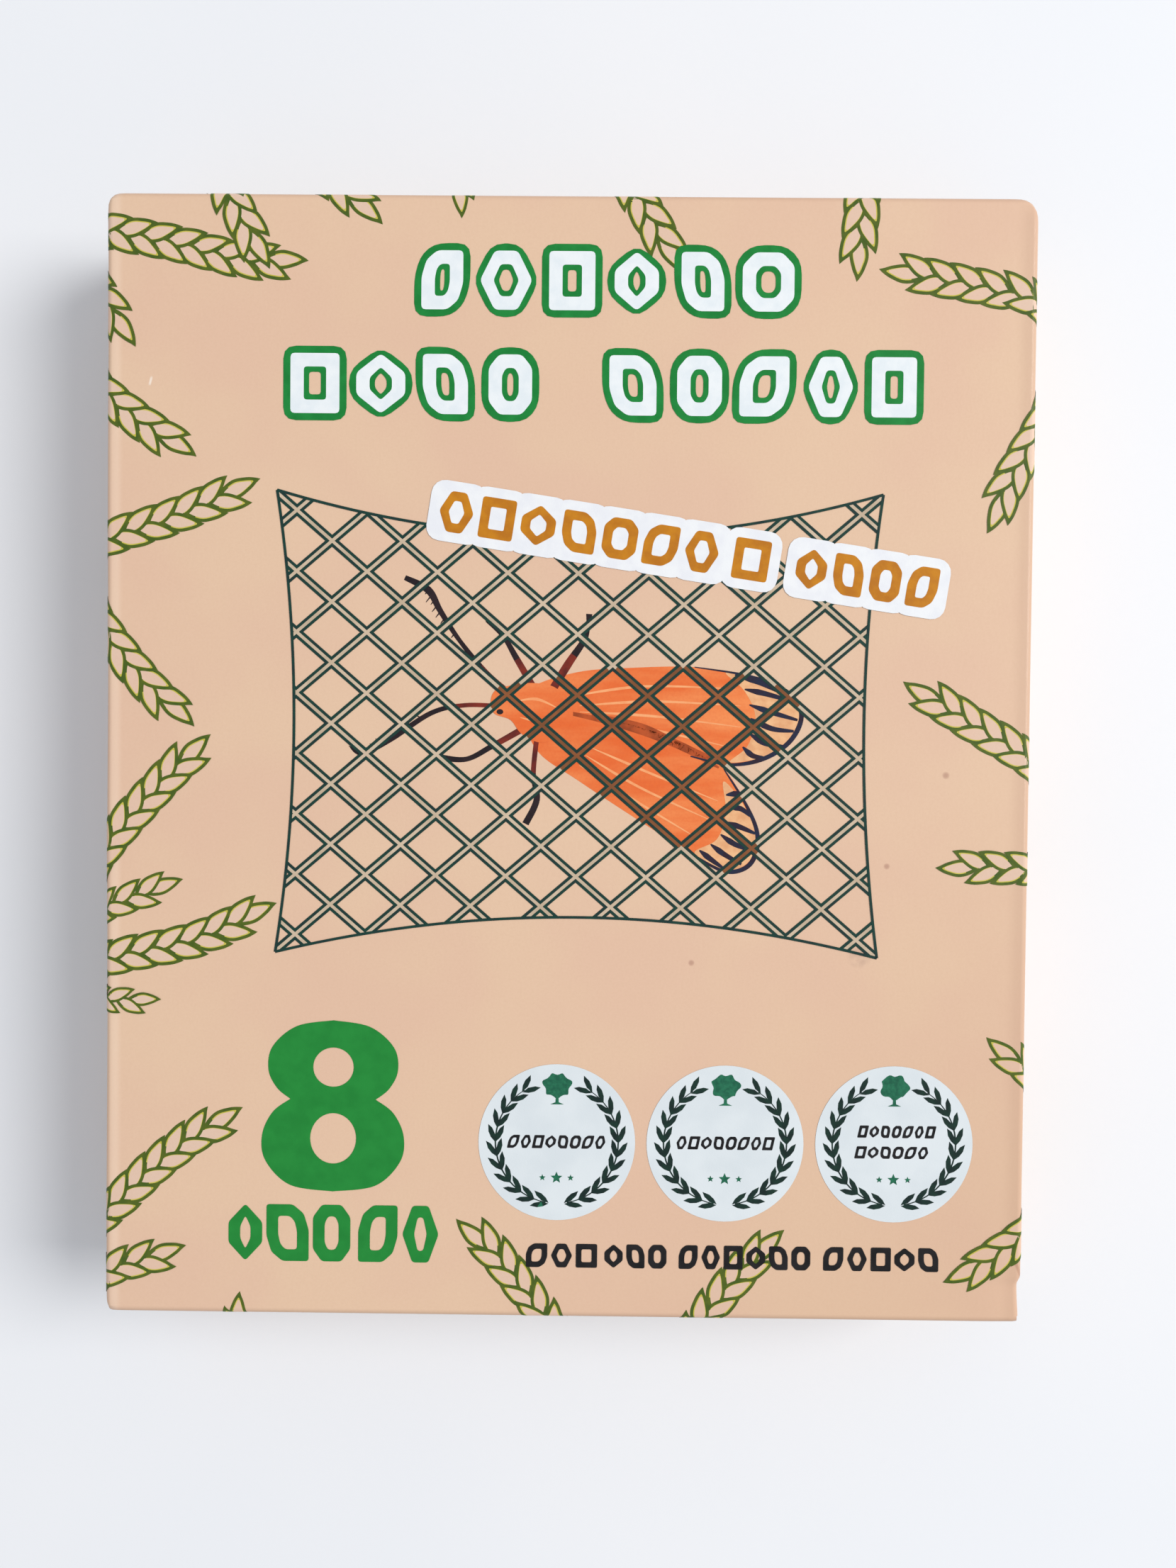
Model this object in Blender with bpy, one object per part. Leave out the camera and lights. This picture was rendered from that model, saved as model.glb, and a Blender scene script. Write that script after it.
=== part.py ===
"""Carton of flat-packed moth traps: a tuck-end carton lying on its back, with eight folded glue traps."""

import math

import bmesh
import bpy
from mathutils import Vector

# Carton, in metres. X is the width, Y the height of the carton, Z its depth.
CARTON_W = 0.150
CARTON_H = 0.182
BOARD = 0.0005
CREASE_R = 0.0012
GAP = 0.0003
HEADROOM = 0.0034
TUCK_LENGTH = 0.0100
TUCK_LEAN = math.radians(20.0)
TUCK_CORNER = 0.0070
DUST_REACH = 0.0240
SEAM_FLAP_W = 0.0120

# Folded trap, from the outside in.
TRAP_COUNT = 8
CARD = 0.00045
GLUE = 0.00020
LINER = 0.00015
SIDE_PLAY = 0.0035
END_PLAY = 0.0030
GLUE_MARGIN = 0.0100
LURE_R = 0.0060
LEAF = 0.00015

# Fits that follow from those sizes.
PIVOT_IN = BOARD + 0.0004
LID_START = PIVOT_IN + GAP
TUCK_OFFSET = 0.0004
TUCK_START = 0.0005
TRAP_FOLD_GAP = 3 * GAP + GLUE + LINER
TRAP_T = 2 * CARD + TRAP_FOLD_GAP
TRAP_PITCH = TRAP_T + GAP
LEAFLET_T = 2 * LEAF + GAP
STACK_LOW = BOARD + GAP
STACK_T = TRAP_COUNT * TRAP_PITCH + LEAFLET_T
CARTON_D = STACK_LOW + STACK_T + HEADROOM + BOARD
TOP = CARTON_H / 2
LID_PIVOT_Y = TOP - PIVOT_IN
LID_PIVOT_Z = CARTON_D - PIVOT_IN
TUCK_MID_Z = BOARD + GAP + BOARD / 2
TUCK_PIVOT_Y = TOP - BOARD / 2 - TUCK_OFFSET
TUCK_PIVOT_Z = TUCK_MID_Z + TUCK_OFFSET
DUST_PIVOT_Y = TOP - BOARD - GAP - BOARD / 2 - TUCK_OFFSET - BOARD / 2
DUST_PIVOT_X = CARTON_W / 2 - PIVOT_IN
DUST_MID_Y = DUST_PIVOT_Y + PIVOT_IN - BOARD / 2
TRAP_W = CARTON_W - 2 * BOARD - 2 * SIDE_PLAY
TRAP_L = 2 * (TUCK_PIVOT_Y - TUCK_LENGTH - END_PLAY - GAP)
WINDOW_R = LURE_R + 0.0015
LURE_T = TRAP_FOLD_GAP - 2 * GAP

BOARD_COLOUR = (0.80, 0.56, 0.38, 1.0)
CARD_COLOUR = (0.62, 0.47, 0.30, 1.0)
GLUE_COLOUR = (0.85, 0.80, 0.55, 1.0)
LINER_COLOUR = (0.92, 0.92, 0.88, 1.0)
LURE_COLOUR = (0.45, 0.16, 0.10, 1.0)
PAPER_COLOUR = (0.90, 0.90, 0.90, 1.0)


def clear_scene():
    for thing in list(bpy.data.objects):
        bpy.data.objects.remove(thing, do_unlink=True)


def collection(name, hidden=False):
    made = bpy.data.collections.new(name)
    bpy.context.scene.collection.children.link(made)
    made.hide_render = hidden
    return made


def material(name, colour, rough):
    made = bpy.data.materials.new(name)
    made.use_nodes = True
    shader = made.node_tree.nodes["Principled BSDF"]
    shader.inputs["Base Color"].default_value = colour
    shader.inputs["Roughness"].default_value = rough
    return made


def prism(name, outline, normal, low, high, origin=(0.0, 0.0, 0.0)):
    """A closed prism: the outline lies across the axis `normal`, as (x, y), (x, z) or (y, z) points."""
    across = [axis for axis in range(3) if axis != normal]
    mesh = bmesh.new()
    corners = []
    for first, second in outline:
        point = Vector((0.0, 0.0, 0.0))
        point[across[0]] = first
        point[across[1]] = second
        point[normal] = low
        corners.append(mesh.verts.new(point - Vector(origin)))
    face = mesh.faces.new(corners)
    grown = bmesh.ops.extrude_face_region(mesh, geom=[face])
    moved = [item for item in grown["geom"] if isinstance(item, bmesh.types.BMVert)]
    shift = Vector((0.0, 0.0, 0.0))
    shift[normal] = high - low
    bmesh.ops.translate(mesh, verts=moved, vec=shift)
    bmesh.ops.recalc_face_normals(mesh, faces=mesh.faces[:])
    data = bpy.data.meshes.new(name)
    mesh.to_mesh(data)
    mesh.free()
    thing = bpy.data.objects.new(name, data)
    thing.location = origin
    return thing


def place(thing, group, colour=None, rough=0.6):
    group.objects.link(thing)
    if colour is not None:
        thing.data.materials.append(material(thing.name, colour, rough))
    else:
        thing.display_type = "WIRE"
        thing.hide_render = True
    return thing


def cut(thing, cutter):
    change = thing.modifiers.new("cut_" + cutter.name, "BOOLEAN")
    change.operation = "DIFFERENCE"
    change.solver = "EXACT"
    change.object = cutter


def hang_on(child, parent):
    child.parent = parent
    child.matrix_parent_inverse = parent.matrix_basis.inverted()


def round_rect(low_u, high_u, low_v, high_v, radius, steps=5):
    """Corner points of a rounded rectangle, anticlockwise."""
    centres = (
        (high_u - radius, high_v - radius, 0.0),
        (low_u + radius, high_v - radius, 90.0),
        (low_u + radius, low_v + radius, 180.0),
        (high_u - radius, low_v + radius, 270.0),
    )
    points = []
    for centre_u, centre_v, start in centres:
        for step in range(steps + 1):
            angle = math.radians(start + 90.0 * step / steps)
            points.append((centre_u + radius * math.cos(angle), centre_v + radius * math.sin(angle)))
    return points


def box(name, low, high):
    outline = ((low[0], low[1]), (high[0], low[1]), (high[0], high[1]), (low[0], high[1]))
    return prism(name, outline, 2, low[2], high[2])


def end_cutters(cutters, sign):
    """Boxes that end the front panel and the two side panels at their creases."""
    past = 0.002
    half_w = CARTON_W / 2
    label = "top" if sign > 0 else "bottom"
    made = []
    spans = {
        "front": ((-half_w - past, half_w + past), (CARTON_D - CREASE_R, CARTON_D + past), LID_PIVOT_Y),
        "right": ((half_w - CREASE_R, half_w + past), (CREASE_R, CARTON_D + past), DUST_PIVOT_Y),
        "left": ((-half_w - past, -half_w + CREASE_R), (CREASE_R, CARTON_D + past), DUST_PIVOT_Y),
    }
    for side, (span_x, span_z, start) in spans.items():
        ends = sorted((sign * start, sign * (TOP + past)))
        cutter = box(
            label + "_" + side + "_trim",
            (span_x[0], ends[0], span_z[0]),
            (span_x[1], ends[1], span_z[1]),
        )
        made.append(place(cutter, cutters))
    return made


def make_sleeve(group, cutters):
    half_w = CARTON_W / 2
    end = TOP - GAP
    outer = round_rect(-half_w, half_w, 0.0, CARTON_D, CREASE_R)
    inner_r = CREASE_R - BOARD
    inner = round_rect(-half_w + BOARD, half_w - BOARD, BOARD, CARTON_D - BOARD, inner_r)
    sleeve = place(prism("carton_sleeve", outer, 1, -end, end), group, BOARD_COLOUR)
    cut(sleeve, place(prism("sleeve_inside", inner, 1, -TOP - 0.01, TOP + 0.01), cutters))
    for sign in (1, -1):
        for cutter in end_cutters(cutters, sign):
            cut(sleeve, cutter)
    return sleeve


def make_seam_flap(group):
    wall = -CARTON_W / 2 + BOARD + GAP
    end = TUCK_PIVOT_Y - TUCK_LENGTH - END_PLAY
    slope = SEAM_FLAP_W * 0.4
    low = BOARD + 4 * GAP
    outline = ((-end, low), (end, low), (end - slope, low + SEAM_FLAP_W), (-end + slope, low + SEAM_FLAP_W))
    return place(prism("glue_seam_flap", outline, 0, wall, wall + BOARD), group, BOARD_COLOUR)


def make_lid(group, label, sign):
    half = CARTON_W / 2 - GAP
    pivot = (0.0, sign * LID_PIVOT_Y, LID_PIVOT_Z)
    low = TUCK_PIVOT_Z + TUCK_START
    high = LID_PIVOT_Z - LID_START
    outline = ((-half, low), (half, low), (half, high), (-half, high))
    faces = sorted((sign * (TOP - BOARD), sign * TOP))
    return place(prism(label + "_lid", outline, 1, faces[0], faces[1], pivot), group, BOARD_COLOUR)


def tuck_outline():
    """The tuck flap in its own plane: x across, then the distance in from its fold, with round corners."""
    half = CARTON_W / 2 - BOARD - 3 * GAP
    points = [(half, TUCK_START), (half, TUCK_LENGTH - TUCK_CORNER)]
    for step in range(1, 9):
        angle = math.radians(90.0 * step / 8)
        across = half - TUCK_CORNER * (1 - math.cos(angle))
        points.append((across, TUCK_LENGTH - TUCK_CORNER * (1 - math.sin(angle))))
    return points + [(-across, along) for across, along in reversed(points)]


def make_tuck(group, label, sign):
    tuck = prism(label + "_tuck", tuck_outline(), 2, -TUCK_OFFSET - BOARD / 2, -TUCK_OFFSET + BOARD / 2)
    for vertex in tuck.data.vertices:
        across, along, lift = vertex.co
        inward = along * math.cos(TUCK_LEAN) - lift * math.sin(TUCK_LEAN)
        up = along * math.sin(TUCK_LEAN) + lift * math.cos(TUCK_LEAN)
        vertex.co = (across, -sign * inward, up)
    if sign > 0:
        tuck.data.flip_normals()
    tuck.location = (0.0, sign * TUCK_PIVOT_Y, TUCK_PIVOT_Z)
    return place(tuck, group, BOARD_COLOUR)


def make_dust_flap(group, label, sign, side):
    """A flap from a side panel, cut back on both edges so that the lid and its tuck flap swing past it."""
    middle = 0.55 * DUST_REACH
    base = DUST_PIVOT_X - PIVOT_IN
    clear = CARTON_D - PIVOT_IN - 2 * GAP
    reach = (
        (base, TUCK_MID_Z + 0.0023),
        (DUST_PIVOT_X - middle, TUCK_MID_Z + 0.0023),
        (DUST_PIVOT_X - DUST_REACH, TUCK_MID_Z + 0.0045),
        (DUST_PIVOT_X - DUST_REACH, clear - 0.52 * DUST_REACH),
        (base, clear - 0.52 * PIVOT_IN),
    )
    outline = [(side * x, z) for x, z in reach]
    pivot = (side * DUST_PIVOT_X, sign * DUST_PIVOT_Y, 0.0)
    faces = sorted((sign * (DUST_MID_Y - BOARD / 2), sign * (DUST_MID_Y + BOARD / 2)))
    name = label + "_dust_" + ("right" if side > 0 else "left")
    return place(prism(name, outline, 1, faces[0], faces[1], pivot), group, BOARD_COLOUR)


def make_end(group, label, sign):
    lid = make_lid(group, label, sign)
    tuck = make_tuck(group, label, sign)
    hang_on(tuck, lid)
    for side in (1, -1):
        make_dust_flap(group, label, sign, side)


def folded(name, width, low, sheet, gap, length):
    """A sheet folded once along its left edge: two layers joined by a half-round bend."""
    half = width / 2
    radius = sheet + gap / 2
    middle = low + radius
    points = [(half, low), (half, low + sheet)]
    for step in range(9):
        angle = math.radians(270.0 - 180.0 * step / 8)
        inner = gap / 2
        points.append((-half + radius + inner * math.cos(angle), middle + inner * math.sin(angle)))
    points += [(half, low + sheet + gap), (half, low + 2 * sheet + gap)]
    for step in range(9):
        angle = math.radians(90.0 + 180.0 * step / 8)
        points.append((-half + radius + radius * math.cos(angle), middle + radius * math.sin(angle)))
    return prism(name, points, 1, -length / 2, length / 2)


def make_trap(group, window, number):
    label = "trap_" + str(number)
    low = STACK_LOW + (number - 1) * TRAP_PITCH
    card = folded(label + "_card", TRAP_W, low, CARD, TRAP_FOLD_GAP, TRAP_L)
    place(card, group, CARD_COLOUR)
    glue_low = low + CARD + GAP
    half_u = TRAP_W / 2 - GLUE_MARGIN
    half_v = TRAP_L / 2 - GLUE_MARGIN
    field = round_rect(-half_u, half_u, -half_v, half_v, 0.003)
    glue = place(prism(label + "_glue", field, 2, glue_low, glue_low + GLUE), group, GLUE_COLOUR, 0.2)
    cut(glue, window)
    liner_low = glue_low + GLUE + GAP
    grip = 0.004
    sheet = round_rect(-half_u - grip, half_u + grip, -half_v - grip, half_v + grip, 0.002)
    liner = prism(label + "_liner", sheet, 2, liner_low, liner_low + LINER)
    place(liner, group, LINER_COLOUR, 0.3)
    cut(liner, window)
    spot = round_rect(-LURE_R, LURE_R, -LURE_R, LURE_R, LURE_R * 0.999, 8)
    lure = prism(label + "_lure", spot, 2, glue_low, glue_low + LURE_T)
    place(lure, group, LURE_COLOUR, 0.5)


def make_leaflet(group):
    low = STACK_LOW + TRAP_COUNT * TRAP_PITCH
    leaflet = folded("instruction_leaflet", TRAP_W * 0.86, low, LEAF, GAP, TRAP_L * 0.90)
    return place(leaflet, group, PAPER_COLOUR)


def main():
    clear_scene()
    group = collection("moth_trap_carton")
    cutters = collection("cutters", hidden=True)
    make_sleeve(group, cutters)
    make_seam_flap(group)
    make_end(group, "top", 1)
    make_end(group, "bottom", -1)
    ring = round_rect(-WINDOW_R, WINDOW_R, -WINDOW_R, WINDOW_R, WINDOW_R * 0.999, 10)
    window = place(prism("lure_window", ring, 2, 0.0, CARTON_D), cutters)
    for number in range(1, TRAP_COUNT + 1):
        make_trap(group, window, number)
    make_leaflet(group)


main()
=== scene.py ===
import math

import bmesh
import bpy
import numpy as np
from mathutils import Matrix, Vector


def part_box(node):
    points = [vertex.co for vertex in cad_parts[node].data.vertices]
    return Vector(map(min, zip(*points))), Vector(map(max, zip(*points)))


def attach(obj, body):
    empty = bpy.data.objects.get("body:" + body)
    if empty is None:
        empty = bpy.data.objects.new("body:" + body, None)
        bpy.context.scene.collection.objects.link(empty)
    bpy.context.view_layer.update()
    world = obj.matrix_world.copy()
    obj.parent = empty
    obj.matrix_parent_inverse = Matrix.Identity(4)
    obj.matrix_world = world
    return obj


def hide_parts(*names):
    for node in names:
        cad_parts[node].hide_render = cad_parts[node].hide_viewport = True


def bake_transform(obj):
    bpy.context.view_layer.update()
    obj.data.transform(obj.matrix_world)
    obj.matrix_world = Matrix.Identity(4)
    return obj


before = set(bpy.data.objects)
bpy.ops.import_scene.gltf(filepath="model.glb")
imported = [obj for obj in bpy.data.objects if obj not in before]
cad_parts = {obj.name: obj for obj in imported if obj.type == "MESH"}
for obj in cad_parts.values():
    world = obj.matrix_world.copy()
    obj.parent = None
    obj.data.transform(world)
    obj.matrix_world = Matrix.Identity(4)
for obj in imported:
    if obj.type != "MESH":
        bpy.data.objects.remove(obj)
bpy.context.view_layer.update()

MM = 0.001
LAYER = 0.0022  # one step in the stack of inks, in millimetres
# Lifts, in layers, that keep one kind of print clear of the kinds under it.
OVER_WHEAT, OVER_DISCS, OVER_NET = 26, 34, 46


def box(name):
    """The lowest and highest corners of a CAD node at rest, in millimetres."""
    return [[value / MM for value in corner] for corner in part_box(name)]


# The carton, in millimetres. X across the front, Y up it, Z out of it.
_, (HALF_W, BACK_END, DEPTH) = box("carton_sleeve")
(_, _, LID_LOW), (LID_HALF_W, TOP, LID_HIGH) = box("top_lid")
TUCK_HALF_W = box("top_tuck")[1][0]
(_, _, DUST_LOW), (DUST_BASE, DUST_OUT, DUST_HIGH) = box("top_dust_right")
BOARD = 0.5
CREASE_R = 1.2
TUCK_BEND_R = 1.0
TUCK_BEND = math.radians(110.0)
DUST_BEND_R = 0.9
SIDE_END = DUST_OUT - DUST_BEND_R
SINK = 0.15  # the printed face lies this far inside the carton's full size, which leaves room for the inks
INK = 2 * LAYER

FRONT_END = TOP - CREASE_R
QUARTER = CREASE_R * math.pi / 2
FLAT_W = HALF_W - CREASE_R
SIDE_LONG = DEPTH - 2 * CREASE_R
ROUND_TO_BACK = FLAT_W + 2 * QUARTER + SIDE_LONG
GIRTH = 2 * (ROUND_TO_BACK + FLAT_W)
LID_FROM = QUARTER + (DEPTH - CREASE_R - LID_HIGH)
LID_TO = QUARTER + (DEPTH - CREASE_R - LID_LOW)
TUCK_TO = LID_TO + TUCK_BEND_R * TUCK_BEND


def smoothstep(value, low, high):
    share = np.clip((np.asarray(value, float) - low) / (high - low), 0.0, 1.0)
    return share * share * (3 - 2 * share)


def round_carton(u):
    """Where a point u along the print, measured across from the middle of the front, is on the carton's section:
    x, z, and the direction out of the board there."""
    side = np.where(u < 0, -1.0, 1.0)
    far = np.abs(u)
    first = np.clip(far - FLAT_W, 0, QUARTER) / CREASE_R
    down = np.clip(far - FLAT_W - QUARTER, 0, SIDE_LONG)
    second = np.clip(far - FLAT_W - QUARTER - SIDE_LONG, 0, QUARTER) / CREASE_R
    back = np.clip(far - ROUND_TO_BACK, 0, None)
    turn = first + second
    x = np.minimum(far, FLAT_W) + CREASE_R * (np.sin(first) - (1 - np.cos(second))) - back
    z = DEPTH - CREASE_R * (1 - np.cos(first)) - down - CREASE_R * np.sin(second)
    return side * x, z, side * np.sin(turn), np.cos(turn)


def round_end(s):
    """The same from the front panel's end, s along the print: over the crease, down the lid and round the tuck bend."""
    first = np.clip(s, 0, QUARTER) / CREASE_R
    down = np.clip(s - QUARTER, 0, LID_TO - QUARTER)
    last = np.clip(s - LID_TO, 0, None) / TUCK_BEND_R
    y = FRONT_END + np.minimum(s, 0) + CREASE_R * np.sin(first) - TUCK_BEND_R * (1 - np.cos(last))
    z = DEPTH - CREASE_R * (1 - np.cos(first)) - down - TUCK_BEND_R * np.sin(last)
    turn = first + last
    return y, z, np.sin(turn), np.cos(turn)


# Knocked corners of the front: side, end, how wide, and how far in they are pushed across, along and down.
KNOCKS = (
    (-1, 1, 1.7, 0.52, 0.42, 0.35),
    (1, 1, 3.2, 0.75, 0.50, 0.55),
)


def across_fold(x, y):
    """How far a place is from the short fold that runs into the right edge above its dent."""
    return (x - 71.5) * 0.923 + (y + 75.4) * 0.385


def settle(points):
    """The board's own slight waves, and the carton's knocked corners, in millimetres."""
    x, y, z = points.T.copy()
    across, along = (np.clip(1 - (place / end) ** 2, 0, 1) for place, end in ((x, HALF_W), (y, TOP)))
    up = smoothstep(z, 0.7 * DEPTH, DEPTH)
    wave = 0.5 + 0.5 * np.sin(x / 17.0 + 0.8) * np.cos(y / 23.0)
    z -= up * across * along * (0.16 + 0.12 * wave)
    # the sides and ends lean in a little at mid-depth, and the left crease isn't quite straight
    belly = np.clip(1 - ((z - DEPTH / 2) / (DEPTH / 2)) ** 2, 0, 1)
    x -= np.sign(x) * 0.30 * belly * along * smoothstep(np.abs(x), 72.0, 74.5)
    y -= np.sign(y) * 0.12 * belly * across * smoothstep(np.abs(y), 90.4, 90.9)
    x += 0.10 * smoothstep(-x, 73.0, 75.0) * (0.5 + 0.5 * np.sin(y / 9.0)) * up
    for side, end, wide, in_x, in_y, in_z in KNOCKS:
        knock = np.exp(-((x - side * HALF_W) ** 2 + (y - end * TOP) ** 2) / wide) * smoothstep(z, DEPTH - 9, DEPTH)
        x -= side * in_x * knock
        y -= end * in_y * knock
        z -= in_z * knock
    # the dented lower right edge, with its fold
    edge = np.exp(-((x - HALF_W) ** 2) / 16.0) * smoothstep(z, DEPTH - 8, DEPTH)
    dent = edge * smoothstep(-y, 83.1, 84.7) * (1 - 0.45 * smoothstep(-y, 85.0, 91.0))
    x -= 0.52 * dent
    z -= 0.24 * dent
    fold = np.exp(-((across_fold(x, y) / 1.3) ** 2)) * smoothstep(-y, 74.0, 77.0) * smoothstep(y, -87.0, -83.5) * up
    z -= 0.05 * fold * smoothstep(x, 69.5, 72.0)
    # the nicked lower left corner
    nick = np.exp(-((x + HALF_W) ** 2 + (y + TOP) ** 2) / 1.6) * up
    x += 0.35 * nick
    z -= 0.30 * nick
    return np.stack([x, y, z], axis=1)


def wrap(u, v, lift):
    """Points of the flat print (u across, v up, lift above the printed face) on the folded carton."""
    u, v, lift = (np.asarray(item, float) for item in np.broadcast_arrays(u, v, lift))
    sign = np.where(v < 0, -1.0, 1.0)
    s = np.abs(v) - FRONT_END
    x, z, out_x, out_z = round_carton(u)
    end_y, end_z, end_out_y, end_out_z = round_end(s)
    over = s > 0
    on_front = over & (z > DEPTH - CREASE_R - 0.001)
    drop = (DEPTH - z) * np.clip(1 - s / 3.0, 0, 1)
    sink = lift - SINK * (1 - smoothstep(s, LID_TO, TUCK_TO))
    px = np.where(on_front, x + sink * out_x * np.clip(1 - s / 3.0, 0, 1), x + sink * out_x)
    py = np.where(on_front, end_y + sink * end_out_y, np.abs(v))
    pz = np.where(on_front, end_z - drop + sink * end_out_z, z + sink * out_z)
    return settle(np.stack([px, sign * py, pz], axis=1))


# ---------------------------------------------------------------- shader and geometry maths


class Value:
    """A node's socket that sums can be written with, in shader and Geometry Nodes trees alike."""

    def __init__(self, tree, socket):
        self.tree, self.socket = tree, socket

    def maths(self, operation, *terms):
        return node(self.tree, "ShaderNodeMath", {"operation": operation}, dict(enumerate(terms)))

    def __add__(self, other):
        return self.maths("ADD", self, other)

    def __sub__(self, other):
        return self.maths("SUBTRACT", self, other)

    def __mul__(self, other):
        return self.maths("MULTIPLY", self, other)

    def __truediv__(self, other):
        return self.maths("DIVIDE", self, other)

    def __gt__(self, other):
        return self.maths("GREATER_THAN", self, other)

    def __lt__(self, other):
        return self.maths("LESS_THAN", self, other)

    __radd__, __rmul__ = __add__, __mul__

    def __rsub__(self, other):
        return self.maths("SUBTRACT", other, self)

    def __abs__(self):
        return self.maths("ABSOLUTE", self)

    def sine(self):
        return self.maths("SINE", self)

    def clip(self, low, high):
        """0 below low, 1 above high, smooth between them."""
        return node(
            self.tree,
            "ShaderNodeMapRange",
            {"interpolation_type": "SMOOTHSTEP"},
            {"Value": self, "From Min": low, "From Max": high},
        )

    def near(self, centre, inner, outer):
        """1 within inner of a centre, fading to 0 at outer."""
        return 1.0 - abs(self - centre).clip(inner, outer)

    def output(self, name):
        return Value(self.tree, self.socket.node.outputs[name])


def node(tree, kind, settings=None, sockets=None, out=0):
    """One node, its settings first and then its sockets' values or links."""
    made = tree.nodes.new(kind)
    for name, setting in (settings or {}).items():
        setattr(made, name, setting)
    for key, value in (sockets or {}).items():
        socket = made.inputs[key]
        if isinstance(value, Value):
            tree.links.new(value.socket, socket)
        else:
            socket.default_value = value
    return Value(tree, made.outputs[out])


def split(value):
    """The three parts of a vector."""
    parts = node(value.tree, "ShaderNodeSeparateXYZ", None, {0: value})
    return parts.output("X"), parts.output("Y"), parts.output("Z")


def joined(tree, **parts):
    """A vector from its X, Y and Z."""
    return node(tree, "ShaderNodeCombineXYZ", None, parts)


def linear(colour):
    """Red, green and blue as printers and screens name them, 0 to 255, made linear."""
    return (*((c / 255 / 12.92) if c <= 10 else ((c / 255 + 0.055) / 1.055) ** 2.4 for c in colour), 1.0)


class Finish:
    """One material in the making, on Object coordinates; x, y and z are those in millimetres. A colour is a value,
    or red, green and blue from 0 to 255."""

    def __init__(self, name, **uniform):
        self.material = bpy.data.materials.new(name)
        self.material.use_nodes = True
        self.tree = self.material.node_tree
        self.shader = self.tree.nodes["Principled BSDF"]
        self.shader.inputs["Specular IOR Level"].default_value = 0.25
        for key, value in uniform.items():
            self.shader.inputs[key.replace("_", " ").title()].default_value = value
        coordinates = node(self.tree, "ShaderNodeTexCoord")
        self.place = coordinates.output("Object")
        self.facing = coordinates.output("Normal")
        self.x, self.y, self.z = (part / MM for part in split(self.place))

    def noise(self, scale, detail=3.0, stretch=(1.0, 1.0, 1.0)):
        """Cloudy values round 0.5; scale is in features to the metre."""
        at = node(self.tree, "ShaderNodeMapping", None, {"Vector": self.place, "Scale": stretch})
        sockets = {"Vector": at, "Scale": scale, "Detail": detail, "Roughness": 0.55}
        return node(self.tree, "ShaderNodeTexNoise", None, sockets)

    def mix(self, colour, *layers):
        """A colour with others laid over it in turn, each given as its share and the colour."""
        for share, over in layers:
            ends = [end if isinstance(end, Value) else linear(end) for end in (colour, over)]
            colour = node(self.tree, "ShaderNodeMix", {"data_type": "RGBA"}, {0: share, 6: ends[0], 7: ends[1]}, 2)
        return colour

    def spot(self, x, y, radius):
        """1 at a place on the face, given in millimetres, fading to 0 at the radius."""
        across, up = (self.x - x) / radius, (self.y - y) / radius
        return 1.0 - (across * across + up * up).clip(0.0, 1.0)

    def paint(self, colour, rough, height, depth=0.00001):
        """Ends the material: depth, in metres, is how far the bumps stand up."""
        bump = node(self.tree, "ShaderNodeBump", None, {"Height": height, "Distance": depth})
        for value, socket in ((colour, "Base Color"), (rough, "Roughness"), (bump, "Normal")):
            self.tree.links.new(value.socket, self.shader.inputs[socket])
        return self.material


PEACH = (231, 197, 167)
PEACH_PINK = (229, 192, 165)
PEACH_DEEP = (208, 168, 138)
KERNEL_PEACH = (228, 198, 176)
KERNEL_PINK = (229, 194, 170)
RAW_BOARD = (205, 200, 190)
RAW_BOARD_PALE = (214, 210, 202)
BOARD_FIBRES = 1500.0  # to the metre, as every noise
PAPER_FIBRES = 1400.0


def printed_peach(finish, clean=PEACH, tint=PEACH_PINK):
    """The carton's peach ink: soft mottling, fine speckle, and painted shade that darkens it towards the bottom right.
    """
    mottle = finish.noise(38.0, 2.0).clip(0.35, 0.68)
    speckle = finish.noise(2600.0, 2.0).clip(0.30, 0.75)
    # painted shade: the peach darkens towards the bottom right
    corner = (finish.x - finish.y).clip(50.0, 170.0)
    return finish.mix(clean, (mottle, tint), (speckle * 0.10, PEACH_DEEP), (corner * 0.34, PEACH_DEEP))


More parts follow.
